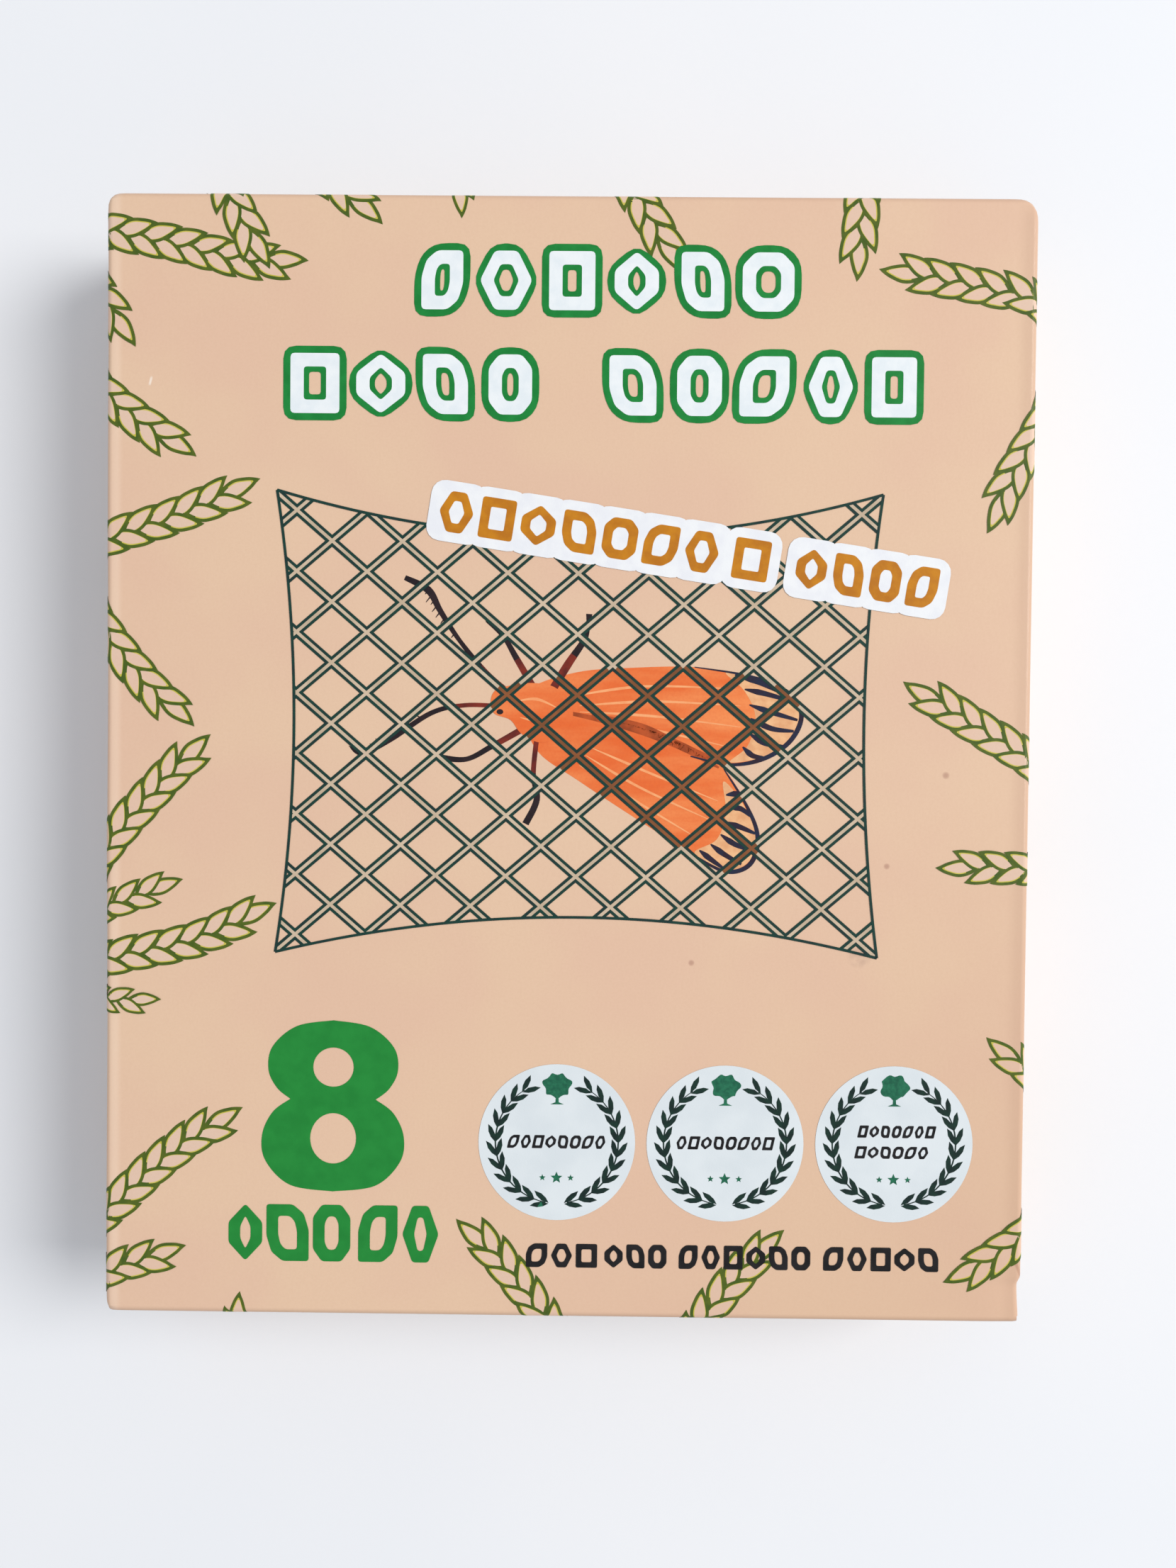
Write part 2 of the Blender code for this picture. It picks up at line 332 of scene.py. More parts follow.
def carton_print():
    """The printed board, with the smudge, specks and scratch that its front shows, painted shade along its right
    crease, its ends and the dent's fold, and a painted highlight beside its left crease.
    """
    finish = Finish("printed_board", Coat_Weight=0.06)
    x, y = finish.x, finish.y
    front = finish.z.clip(DEPTH - 1.6, DEPTH - 0.6)
    smudge = finish.spot(47.7, -31.2, 2.2) * finish.noise(900.0).clip(0.25, 0.7)
    specks = finish.spot(61.2, -1.7, 0.7) + finish.spot(51.9, -16.5, 0.6) + finish.spot(20.5, -32.5, 0.6)
    scratch = finish.spot(-67.6, 60.6, 0.9) * (x - (y - 60.6) * 0.25).near(-67.6, 0.06, 0.3)
    # painted shade along the short fold above the dent
    fold = across_fold(x, y).near(0.0, 0.084, 0.42) * y.clip(-85.0, -83.4) * (1.0 - y.clip(-76.2, -74.8))
    colour = finish.mix(
        printed_peach(finish),
        # painted shade: darker towards the right crease, where the front rolls over it
        (x.clip(70.8, 75.2) * front * 0.55, (196, 158, 132)),
        # painted highlight: a lighter band beside the left crease
        (x.near(-73.2, 0.13, 1.3) * front * 0.35, (247, 222, 199)),
        # painted shade: darker along the top and bottom creases
        (abs(y).clip(89.6, 90.8) * front * 0.35, (168, 128, 104)),
        (smudge * 0.30, (150, 120, 112)),
        (specks * 0.45, (150, 96, 84)),
        (scratch * 0.8, (250, 236, 222)),
        # painted shade of the dent's fold
        (fold * front * 0.55, (172, 128, 104)),
    )
    scuff = finish.noise(160.0, 5.0, (1.0, 0.25, 1.0)).clip(0.60, 0.75) * 0.18
    rough = 0.40 + scuff + finish.noise(420.0).clip(0.2, 0.8) * 0.08
    fibres = finish.noise(BOARD_FIBRES, 4.0, (1.0, 0.45, 1.0)) + finish.noise(240.0, 2.0) * 0.8
    return finish.paint(colour, rough, fibres, 0.000012)


def raw_paper(name, colour, other):
    finish = Finish(name)
    cloud = finish.noise(PAPER_FIBRES / 6, 4.0).clip(0.3, 0.7)
    fleck = finish.noise(PAPER_FIBRES, 3.0, (1.0, 0.3, 1.0)).clip(0.58, 0.72)
    shade = finish.mix(colour, (cloud, other), (fleck * 0.25, (140, 128, 112)))
    return finish.paint(shade, 0.80 + cloud * 0.12, finish.noise(PAPER_FIBRES, 5.0), 0.00002)


def flap_board():
    """A flap: printed on the side that faces out of the carton, bare on the other."""
    finish = Finish("flap_board")
    bare = finish.mix(RAW_BOARD, (finish.noise(230.0, 4.0).clip(0.3, 0.7), RAW_BOARD_PALE))
    _, normal_y, normal_z = split(finish.facing)
    outward = (normal_y * (finish.y > 0.0) - normal_y * (finish.y < 0.0) - normal_z * 0.4).clip(0.25, 0.5)
    rough = 0.78 - outward * 0.34 + finish.noise(500.0) * 0.06
    height = finish.noise(BOARD_FIBRES, 4.0)
    # the printed side carries the peach's painted shade towards the bottom right
    return finish.paint(finish.mix(bare, (outward, printed_peach(finish))), rough, height, 0.000014)


def ink(name, colour, other, scale=420.0):
    """A printed ink: slightly uneven in density, with a fine grain in its gloss."""
    finish = Finish(name)
    density = finish.noise(scale).clip(0.30, 0.70)
    grain = finish.noise(3200.0, 2.0).clip(0.2, 0.8)
    return finish.paint(finish.mix(colour, (density, other)), 0.38 + grain * 0.10, grain, 0.000004)


def kernel_ink():
    finish = Finish("wheat_kernel_ink")
    rough = 0.42 + finish.noise(900.0) * 0.08
    # the kernels' peach carries the same painted shade towards the bottom right
    return finish.paint(printed_peach(finish, KERNEL_PEACH, KERNEL_PINK), rough, finish.noise(BOARD_FIBRES, 4.0))


def wing_ink():
    """The moth's orange: streaks along the wings, deeper by the body, and fine scales."""
    finish = Finish("wing_orange_ink")
    streak = finish.noise(260.0, 4.0, (0.22, 1.0, 1.0)).clip(0.32, 0.70)
    inner = 1.0 - finish.x.clip(6.0, 32.0)
    scales = finish.noise(2400.0, 2.0).clip(0.35, 0.75)
    layers = (streak, (247, 146, 84)), (inner * 0.25, (228, 92, 38)), (scales * 0.16, (206, 78, 34))
    return finish.paint(finish.mix((236, 112, 52), *layers), 0.38 + scales * 0.1, scales, 0.000004)


def trap_card_finish():
    """White card with a fine woven tint, a green band at each end and pale cut edges."""
    finish = Finish("trap_card")
    x, y = finish.x, finish.y
    cloud = finish.noise(120.0, 4.0).clip(0.3, 0.7)
    weave = ((x + y) * 1.2).sine() * ((x - y) * 1.2).sine()
    band = abs(y).clip(60.0, 60.4)
    _, normal_y, _ = split(finish.facing)
    colour = finish.mix(
        (238, 234, 224),
        (cloud, (229, 223, 210)),
        (band * 0.85, (58, 138, 80)),
        (weave.clip(0.5, 0.9) * (1.0 - band) * 0.18, (120, 150, 110)),
        (abs(normal_y).clip(0.6, 0.9) * 0.92, (216, 208, 190)),
    )
    return finish.paint(colour, 0.62 + cloud * 0.15, finish.noise(1300.0, 4.0), 0.00002)


def glue_finish():
    finish = Finish("glue_layer", Coat_Weight=0.7, Coat_Roughness=0.08)
    ripple = finish.noise(95.0, 3.0, (1.0, 0.4, 1.0))
    colour = finish.mix((236, 222, 160), (ripple.clip(0.3, 0.7), (226, 206, 128)))
    return finish.paint(colour, 0.10 + ripple * 0.12, ripple, 0.00006)


def liner_finish():
    """Waxed paper with a pale diamond grid."""
    finish = Finish("release_liner", Coat_Weight=0.3)
    x, y = finish.x, finish.y
    grid = abs(((x + y) * 0.35).sine()).clip(0.0, 0.10) * abs(((x - y) * 0.35).sine()).clip(0.0, 0.10)
    cloud = finish.noise(80.0).clip(0.3, 0.7)
    colour = finish.mix((243, 243, 238), (cloud, (234, 237, 234)), ((1.0 - grid) * 0.35, (150, 186, 196)))
    return finish.paint(colour, 0.26 + cloud * 0.1, finish.noise(600.0))


def lure_finish():
    finish = Finish("lure", Subsurface_Weight=0.1)
    cloud = finish.noise(700.0, 4.0).clip(0.3, 0.7)
    colour = finish.mix((176, 88, 60), (cloud, (150, 66, 46)))
    return finish.paint(colour, 0.5 + cloud * 0.12, finish.noise(1800.0), 0.00003)


def leaflet_finish():
    """Thin paper with plain grey rules where reading matter would be."""
    finish = Finish("leaflet_paper")
    x, y = finish.x, finish.y
    rows = (y * 1.45).sine().clip(0.35, 0.55)
    gaps = finish.noise(330.0, 1.0, (1.0, 0.06, 1.0)).clip(0.42, 0.46)
    page = x.near(0.0, 52.0, 52.3) * y.near(0.0, 58.0, 58.3)
    heading = y.clip(44.0, 44.2)
    cloud = finish.noise(90.0).clip(0.3, 0.7)
    colour = finish.mix(
        (244, 243, 238),
        (cloud, (236, 235, 230)),
        (rows * gaps * page * (1.0 - heading) * 0.65, (92, 96, 96)),
        (y.near(50.0, 3.6, 3.8) * page * 0.9, (52, 140, 76)),
    )
    return finish.paint(colour, 0.70 + cloud * 0.1, finish.noise(1700.0, 4.0))


def table_finish():
    finish = Finish("pale_table")
    cloud = finish.noise(6.0).clip(0.3, 0.7)
    colour = finish.mix((238.61, 241.65, 245.81), (cloud, (242.25, 244.04, 246.99)))
    return finish.paint(colour, 0.46 + cloud * 0.08, finish.noise(500.0), 0.000008)


FINISHES = {
    "board_print": carton_print(),
    "board_inside": raw_paper("board_inside", RAW_BOARD, RAW_BOARD_PALE),
    "board_edge": raw_paper("board_cut_edge", (214, 200, 180), (196, 180, 158)),
    "flap_board": flap_board(),
    "wheat_kernel": kernel_ink(),
    "wing_orange": wing_ink(),
}
# Each plain ink: the two shades that it drifts between, and how fine the drift is where it isn't the usual.
INKS = {
    "wheat_line": ((68, 92, 26), (88, 104, 28), 700.0),
    "wheat_fringe": ((196, 186, 70), (206, 192, 92), 700.0),
    "title_green": ((14, 124, 50), (24, 136, 58)),
    "title_white": ((240, 245, 247), (230, 238, 242)),
    "tagline_white": ((243, 245, 247), (236, 238, 243)),
    "tagline_ochre": ((204, 132, 22), (186, 114, 22)),
    "net_line": ((18, 62, 52), (24, 50, 48), 600.0),
    "net_core": ((194, 173, 147), (211, 190, 164), 300.0),
    "net_core_on_wing": ((124, 76, 44), (148, 88, 50), 300.0),
    "wing_tip": ((243, 190, 140), (226, 164, 116), 500.0),
    "wing_stripe": ((44, 30, 46), (30, 40, 66), 500.0),
    "wing_vein": ((250, 176, 120), (246, 160, 104), 500.0),
    "wing_fold": ((150, 66, 30), (190, 84, 38), 500.0),
    "leg_red": ((132, 44, 30), (84, 30, 28), 400.0),
    "leg_black": ((28, 20, 26), (44, 30, 34), 400.0),
    "numeral_green": ((26, 130, 50), (33, 140, 56), 240.0),
    "badge_white": ((226, 233, 236), (218, 226, 230), 120.0),
    "badge_wreath": ((20, 52, 42), (16, 36, 34), 900.0),
    "badge_tree": ((38, 116, 84), (24, 92, 68), 1400.0),
    "plain_black": ((16, 16, 18), (32, 30, 32)),
    "back_rule": ((92, 94, 92), (112, 112, 108)),
}
for ink_name, shades in INKS.items():
    FINISHES[ink_name] = ink(ink_name + "_ink", *shades)


# ---------------------------------------------------------------- boards


def placed(name, data):
    """A new object in the scene."""
    made = bpy.data.objects.new(name, data)
    bpy.context.scene.collection.objects.link(made)
    return made


def put(name, mesh, finishes):
    """A finished mesh, in metres and in place, as an object of the scene."""
    for finish in finishes:
        mesh.materials.append(FINISHES[finish])
    return placed(name, mesh)


BOARD_FINISHES = ("board_print", "board_inside", "board_edge")


def board_solid(name, outer, inner, ring):
    """A board from two grids of points (rows by columns by 3, in millimetres). ring says that the last column meets
    the first. The outer grid is the printed side; its rows run so that its faces look out."""
    rows, columns = outer.shape[:2]
    count = rows * columns
    wrapped = columns if ring else columns - 1

    def at(row, column, layer):
        return layer * count + row * columns + column % columns

    faces, finishes = [], []
    for row in range(rows - 1):
        for column in range(wrapped):
            quad = [at(row, column, 0), at(row, column + 1, 0), at(row + 1, column + 1, 0), at(row + 1, column, 0)]
            faces += [quad, [corner + count for corner in reversed(quad)]]
            finishes += [0, 1]
    rims = [((0, column + 1), (0, column)) for column in range(wrapped)]
    rims += [((rows - 1, column), (rows - 1, column + 1)) for column in range(wrapped)]
    if not ring:
        rims += [((row, 0), (row + 1, 0)) for row in range(rows - 1)]
        rims += [((row + 1, columns - 1), (row, columns - 1)) for row in range(rows - 1)]
    for first, second in rims:
        faces.append([at(*first, 0), at(*second, 0), at(*second, 1), at(*first, 1)])
        finishes.append(2)
    mesh = bpy.data.meshes.new(name)
    points = np.concatenate([outer.reshape(-1, 3), inner.reshape(-1, 3)]) * MM
    mesh.from_pydata(points.tolist(), [], faces)
    mesh.polygons.foreach_set("material_index", finishes)
    made = put(name, mesh, BOARD_FINISHES)
    smooth_faces(made, 40.0)
    return made


def smooth_faces(thing, angle):
    mesh = thing.data
    work = bmesh.new()
    work.from_mesh(mesh)
    bmesh.ops.recalc_face_normals(work, faces=work.faces[:])
    limit = math.radians(angle)
    for face in work.faces:
        face.smooth = True
    for edge in work.edges:
        edge.smooth = edge.is_manifold and edge.calc_face_angle(0.0) < limit
    work.to_mesh(mesh)
    work.free()


def steps(*stops):
    """Places along a line: (from, to, how many steps) spans joined end to end."""
    places = [np.linspace(low, high, count, endpoint=False) for low, high, count in stops]
    return np.concatenate([*places, [stops[-1][1]]])


def wrapped_board(name, u, v, ring=False):
    """A board that lies as the print does, from two grids of places."""
    outer, inner = (wrap(u.ravel(), v.ravel(), lift).reshape((*u.shape, 3)) for lift in (0.0, -BOARD))
    return board_solid(name, outer, inner, ring)


def make_sleeve():
    """The four panels as one tube, their ends at their own creases."""
    side_from, side_to = FLAT_W + QUARTER, FLAT_W + QUARTER + SIDE_LONG
    across = steps(
        (0.0, 62.0, 26),
        (62.0, FLAT_W, 14),
        (FLAT_W, side_from, 6),
        (side_from, side_to, 12),
        (side_to, ROUND_TO_BACK, 6),
        (ROUND_TO_BACK, ROUND_TO_BACK + FLAT_W, 20),
    )
    around = np.concatenate([across[:-1], [GIRTH / 2], -across[-2:0:-1]])[::-1]
    up = steps((-1.0, -0.86, 28), (-0.86, 0.86, 62), (0.86, 1.0, 14))
    far = np.abs(around)
    end = np.where(far < side_from - 0.01, FRONT_END, np.where(far < side_to + 0.01, SIDE_END, BACK_END))
    sleeve = wrapped_board("sleeve_board", np.broadcast_to(around, (len(up), len(around))), np.outer(up, end), True)
    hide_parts("carton_sleeve")
    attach(sleeve, "carton")


def end_sheet(name, half, sign, *spans):
    """A board that follows the top or bottom end, over spans measured from the front's end."""
    inner = FLAT_W - 8
    across = steps((-half, -inner, 10), (-inner, inner, 44), (inner, half, 10))
    u, s = np.meshgrid(across, steps(*spans))
    return wrapped_board(name, u, sign * (FRONT_END + s))


def bend_over_lid(made):
    """Bakes the placing of a piece over the crease between the front and a lid into its mesh."""
    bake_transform(made)


def dust_bend(name, sign, side):
    """The crease between a side panel and its dust flap."""
    angles = np.linspace(0.0, math.pi / 2, 7)
    centre_x, centre_y = HALF_W - DUST_BEND_R, SIDE_END
    heights = steps((DUST_LOW, DUST_HIGH, 12))
    grids = []
    for radius in (DUST_BEND_R, DUST_BEND_R - BOARD):
        x = [*(centre_x + (radius - SINK * np.cos(angles)) * np.cos(angles)), DUST_BASE]
        y = [*(centre_y + radius * np.sin(angles)), centre_y + radius]
        points = np.array([[side * x[i], sign * y[i], z] for z in heights for i in range(len(x))])
        hold = smoothstep(np.abs(points[:, 0]), DUST_BASE, HALF_W - 0.4)[:, None]
        grids.append((points * (1 - hold) + settle(points) * hold).reshape(len(heights), len(x), 3))
    made = board_solid(name, *grids, False)
    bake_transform(made)


def make_ends():
    """Both lids, with the creases that join them to the front, and the bends into the tucks and the dust flaps."""
    for label, sign in (("top", 1), ("bottom", -1)):
        lid_body, tuck_body = label + "_lid", label + "_tuck"
        crease = end_sheet(lid_body + "_crease", LID_HALF_W, sign, (0, QUARTER, 8), (QUARTER, LID_FROM, 2))
        bend_over_lid(crease)
        lid = end_sheet(lid_body + "_board", LID_HALF_W, sign, (LID_FROM, LID_TO, 12))
        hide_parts(lid_body)
        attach(lid, lid_body)
        bend = end_sheet(tuck_body + "_bend", TUCK_HALF_W, sign, (LID_TO, TUCK_TO, 7))
        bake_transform(bend)
        for word, side in (("right", 1), ("left", -1)):
            dust_bend(f"{label}_dust_{word}_bend", sign, side)


# ---------------------------------------------------------------- flat print


def curve_through(points, per=6, closed=True):
    """A smooth line through the points."""
    given = [Vector((*point, 0.0)).to_2d() if len(point) == 2 else Vector(point).to_2d() for point in points]
    count = len(given)
    made = []
    for i in range(count if closed else count - 1):
        if closed:
            a, b, c, d = (given[(i + k) % count] for k in (-1, 0, 1, 2))
        else:
            a, b, c, d = (given[min(max(i + k, 0), count - 1)] for k in (-1, 0, 1, 2))
        for step in range(per):
            t = step / per
            made.append(
                0.5 * (2 * b + (c - a) * t + (2 * a - 5 * b + 4 * c - d) * t * t + (3 * b - a - 3 * c + d) * t**3)
            )
    if not closed:
        made.append(given[-1])
    return [(point.x, point.y) for point in made]


def rounded(low_u, high_u, low_v, high_v, radius, per=4):
    radius = min(radius, (high_u - low_u) / 2.01, (high_v - low_v) / 2.01)
    corners = ((high_u - radius, high_v - radius), (low_u + radius, high_v - radius))
    corners += ((low_u + radius, low_v + radius), (high_u - radius, low_v + radius))
    made = []
    for quarter, (u, v) in enumerate(corners):
        for step in range(per + 1):
            angle = math.radians(90 * quarter + 90 * step / per)
            made.append((u + radius * math.cos(angle), v + radius * math.sin(angle)))
    return made


def circle(u, v, radius, count=48, squeeze=1.0):
    angles = [2 * math.pi * i / count for i in range(count)]
    return [(u + radius * math.cos(angle), v + radius * squeeze * math.sin(angle)) for angle in angles]


def face_up(faces):
    """Turns flat faces so that they look out of the print."""
    for face in faces:
        if face.normal.z < 0:
            face.normal_flip()


def cut(work, axis, place, parts=None, **cleared):
    """Cuts a flat mesh, or some of its parts, at a place along U (axis 0) or V (axis 1)."""
    parts = work.verts[:] + work.edges[:] + work.faces[:] if parts is None else parts
    at, along = (place * (1 - axis), place * axis, 0), (1 - axis, axis, 0)
    bmesh.ops.bisect_plane(work, geom=parts, dist=1e-7, plane_co=at, plane_no=along, **cleared)


def cut_for_bends(work, pitch):
    """Cuts a flat mesh where the carton bends, and on a grid, so that it can follow the board."""
    reach = np.array([vertex.co for vertex in work.verts])
    low, high = reach.min(axis=0), reach.max(axis=0)
    for side in (-1, 1):
        for axis, start, count in ((0, FLAT_W, 6), (0, FLAT_W + QUARTER + SIDE_LONG, 6), (1, FRONT_END, 8)):
            for step in range(count + 1):
                place = side * (start + QUARTER * step / count)
                if low[axis] < place < high[axis]:
                    cut(work, axis, place)
    for axis in (0, 1):
        for place in range(math.ceil(low[axis] / pitch), math.floor(high[axis] / pitch) + 1):
            cut(work, axis, place * pitch)


def cut_finely(work, area):
    """Cuts a flat mesh on a fine grid over an area, given as its spans along U and V."""

    def close(face):
        middle = face.calc_center_median()
        return all(low - 2 < middle[axis] < high + 2 for axis, (low, high) in enumerate(area))

    for axis, (low, high) in enumerate(area):
        for count in range(int((high - low) / FINE_STEP) + 1):
            faces = [face for face in work.faces if close(face)]
            verts = dict.fromkeys(vertex for face in faces for vertex in face.verts)
            edges = dict.fromkeys(edge for face in faces for edge in face.edges)
            cut(work, axis, low + count * FINE_STEP, [*faces, *verts, *edges])


class Artwork:
    """Flat print gathered in millimetres; each shape has a lift, in layers, and an ink."""

    def __init__(self, name, *inks):
        self.name, self.inks = name, inks
        self.work = bmesh.new()

    def shape(self, outline, lift, ink_name=None, holes=()):
        slot = self.inks.index(ink_name) if ink_name else 0
        edges = []
        for loop in (outline, *holes):
            corners = [self.work.verts.new((u, v, lift * LAYER)) for u, v in loop]
            edges += [self.work.edges.new((corners[i - 1], corners[i])) for i in range(len(corners))]
        filled = bmesh.ops.triangle_fill(self.work, edges=edges, use_beauty=True, normal=(0, 0, 1))
        faces = [face for face in filled["geom"] if isinstance(face, bmesh.types.BMFace)]
        for face in faces:
            face.material_index = slot
        face_up(faces)

    def tile(self, place, number, stroke, lift, corner, hole_corner, move=lambda points: points):
        """A mark drawn as an outline in a box, given as (low_u, high_u, low_v, high_v)."""
        low_u, high_u, low_v, high_v = place
        outline, hole = (
            move(mark(low_u + c, high_u - c, low_v + c, high_v - c, number, radius))
            for c, radius in ((0.0, corner), (stroke, hole_corner))
        )
        self.shape(outline, lift, holes=[hole])

    def strip(self, line, widths, lift, ink_name=None):
        """A band along a line; widths are given at evenly spread places."""
        slot = self.inks.index(ink_name) if ink_name else 0
        width = np.interp(np.linspace(0, 1, len(line)), np.linspace(0, 1, len(widths)), widths)
        points = np.array(line, float)
        along = np.gradient(points, axis=0)
        along /= np.linalg.norm(along, axis=1)[:, None] + 1e-9
        beside = np.stack([-along[:, 1], along[:, 0]], axis=1) * width[:, None] / 2
        edges = (points + beside, points - beside)
        left, right = ([self.work.verts.new((*point, lift * LAYER)) for point in edge] for edge in edges)
        for i in range(len(line) - 1):
            face = self.work.faces.new((right[i], right[i + 1], left[i + 1], left[i]))
            face.material_index = slot

    def mesh(self, flat, ink_name):
        """Adds a flat mesh that a tree has grown, in millimetres."""
        before = len(self.work.faces)
        self.work.from_mesh(flat)
        self.work.faces.ensure_lookup_table()
        added = self.work.faces[before:]
        for face in added:
            face.material_index = self.inks.index(ink_name)
            face.normal_update()
        face_up(added)
        bpy.data.meshes.remove(flat)

    def lay(self, name=None, v=(-FRONT_END, FRONT_END), u=(-GIRTH, GIRTH), pitch=6.0, body="carton", fine=None):
        """Takes the print between two places along V and U, wraps it on the carton and gives it a thickness."""
        work = self.work.copy()
        bmesh.ops.triangulate(work, faces=[face for face in work.faces if len(face.verts) > 4])
        for axis, (low, high) in ((1, v), (0, u)):
            cut(work, axis, low, clear_inner=True)
            cut(work, axis, high, clear_outer=True)
        cut_for_bends(work, pitch)
        if fine:
            cut_finely(work, fine)
        bmesh.ops.triangulate(work, faces=work.faces[:])
        flat = np.array([vertex.co for vertex in work.verts])
        tops, lows = (wrap(flat[:, 0], flat[:, 1], flat[:, 2] - under) for under in (0.0, INK))
        work.verts.index_update()
        faces, finishes, count = [], [], len(flat)
        for face in work.faces:
            corners = [vertex.index for vertex in face.verts]
            sides = [corners, [corner + count for corner in reversed(corners)]]
            for loop in face.loops:
                if loop.edge.is_boundary:
                    first, second = loop.vert.index, loop.link_loop_next.vert.index
                    sides.append([second, first, first + count, second + count])
            faces += sides
            finishes += [face.material_index] * len(sides)
        work.free()
        mesh = bpy.data.meshes.new(name or self.name)
        mesh.from_pydata((np.concatenate([tops, lows]) * MM).tolist(), [], faces)
        mesh.polygons.foreach_set("material_index", finishes)
        mesh.update()
        made = put(name or self.name, mesh, self.inks)
        if body:
            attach(made, body)
        return made


# ---------------------------------------------------------------- things that grow along a line


def begin_tree(name, **inputs):
    """A Geometry Nodes tree with named inputs, and the node that gives them."""
    tree = bpy.data.node_groups.new(name, "GeometryNodeTree")
    for label, kind in {"Geometry": "Geometry", **inputs, "Ink": "Material"}.items():
        tree.interface.new_socket(label.replace("_", " "), in_out="INPUT", socket_type="NodeSocket" + kind)
    tree.interface.new_socket("Geometry", in_out="OUTPUT", socket_type="NodeSocketGeometry")
    return tree, node(tree, "NodeGroupInput")


def end_tree(given, shape):
    """Makes the shape real, and inks it."""
    tree = given.tree
    real = node(tree, "GeometryNodeRealizeInstances", None, {"Geometry": shape})
    inked = node(tree, "GeometryNodeSetMaterial", None, {"Geometry": real, "Material": given.output("Ink")})
    tree.links.new(inked.socket, tree.nodes.new("NodeGroupOutput").inputs[0])
    return tree


def resampled(curve, length):
    return node(curve.tree, "GeometryNodeResampleCurve", {"mode": "LENGTH"}, {"Curve": curve, "Length": length})


def sprig_tree():
    """Sets a piece along every line of a curve, leaning to one side and the other in turn, and straight at its tip."""
    tree, given = begin_tree("sprig", Piece="Object", Spacing="Float", Lean="Float")
    place = node(tree, "GeometryNodeSplineParameter")
    parity = place.maths("MODULO", place.output("Index"), 2.0)
    side = (1.0 - parity * 2.0) * (place.output("Factor") < 0.999)
    along_x, along_y, _ = split(node(tree, "GeometryNodeInputTangent"))
    heading = place.maths("ARCTAN2", along_y, along_x)
    size = node(tree, "GeometryNodeInputRadius")
    piece = node(tree, "GeometryNodeObjectInfo", None, {"Object": given.output("Piece")})
    sockets = {
        "Points": resampled(given, given.output("Spacing")),
        "Instance": piece.output("Geometry"),
        "Rotation": joined(tree, Z=heading + side * given.output("Lean")),
        "Scale": joined(tree, X=size, Y=size * (side + (1.0 - abs(side))), Z=1.0),
    }
    return end_tree(given, node(tree, "GeometryNodeInstanceOnPoints", None, sockets))


def net_tree():
    """One set of parallel strands, kept roughly to a frame whose four sides bow inwards."""
    sizes = ("Pitch", "Slope", "Start_U", "Start_V", "Width", "Lift", "Segment")
    tree, given = begin_tree("net_strands", **dict.fromkeys(sizes, "Float"))
    rise = NET_REACH * given.output("Slope")
    start_u, start_v = given.output("Start U") - NET_REACH, given.output("Start V") - rise
    first = joined(tree, X=start_u, Y=start_v, Z=given.output("Lift"))
    step = joined(tree, X=given.output("Pitch"))
    places = {"Count": NET_STRANDS, "Start Location": first, "Offset": step}
    row = node(tree, "GeometryNodeMeshLine", {"mode": "OFFSET"}, places)
    whole = joined(tree, X=2 * NET_REACH, Y=rise * 2.0)
    strand = node(tree, "GeometryNodeCurvePrimitiveLine", None, {"Start": (0, 0, 0), "End": whole})
    strands = node(tree, "GeometryNodeInstanceOnPoints", None, {"Points": row, "Instance": strand})
    real = node(tree, "GeometryNodeRealizeInstances", None, {"Geometry": strands})
    here = split(node(tree, "GeometryNodeInputPosition"))
    outside = 0.0
    for axis, way, middle, corner in NET_SIDES:
        outside += here[1 - axis] * way > net_side(axis, middle, corner, here[axis]) * way + NET_SPARE
    selected = {"Geometry": resampled(real, 0.12), "Selection": outside}
    kept = node(tree, "GeometryNodeDeleteGeometry", {"domain": "POINT", "mode": "ALL"}, selected)
    stubs = {"Geometry": kept, "Selection": node(tree, "GeometryNodeSplineLength").output("Length") < 0.5}
    trimmed = node(tree, "GeometryNodeDeleteGeometry", {"domain": "CURVE", "mode": "ALL"}, stubs)
    coarse = resampled(trimmed, given.output("Segment"))
    upright = node(tree, "GeometryNodeSetCurveNormal", {"mode": "Z_UP"}, {"Curve": coarse})
    half = given.output("Width") * 0.5
    ends = {"Start": joined(tree, X=half * -1.0), "End": joined(tree, X=half)}
    profile = node(tree, "GeometryNodeCurvePrimitiveLine", None, ends)
    return end_tree(given, node(tree, "GeometryNodeCurveToMesh", None, {"Curve": upright, "Profile Curve": profile}))


def grow(base, tree, **sizes):
    """Runs a tree on an object and returns the plain mesh it makes."""
    change = base.modifiers.new("grow", "NODES")
    change.node_group = tree
    known = {item.name: item.identifier for item in tree.interface.items_tree if item.in_out == "INPUT"}
    for name, value in sizes.items():
        change[known[name.replace("_", " ")]] = value
    bpy.context.view_layer.update()
    made = bpy.data.meshes.new_from_object(base.evaluated_get(bpy.context.evaluated_depsgraph_get()))
    base.modifiers.remove(change)
    return made


def spines(name, lines):
    """One curve object with a line for each (points, size), or (points, size, layers above the rest)."""
    data = bpy.data.curves.new(name, "CURVE")
    data.dimensions = "3D"
    for points, size, *over in lines:
        path = curve_through(points, 5, closed=False) if len(points) > 2 else points
        spline = data.splines.new("POLY")
        spline.points.add(len(path) - 1)
        for point, (u, v) in zip(spline.points, path, strict=True):
            point.co = (u, v, sum(over) * LAYER, 1.0)
            point.radius = size
    return placed(name, data)


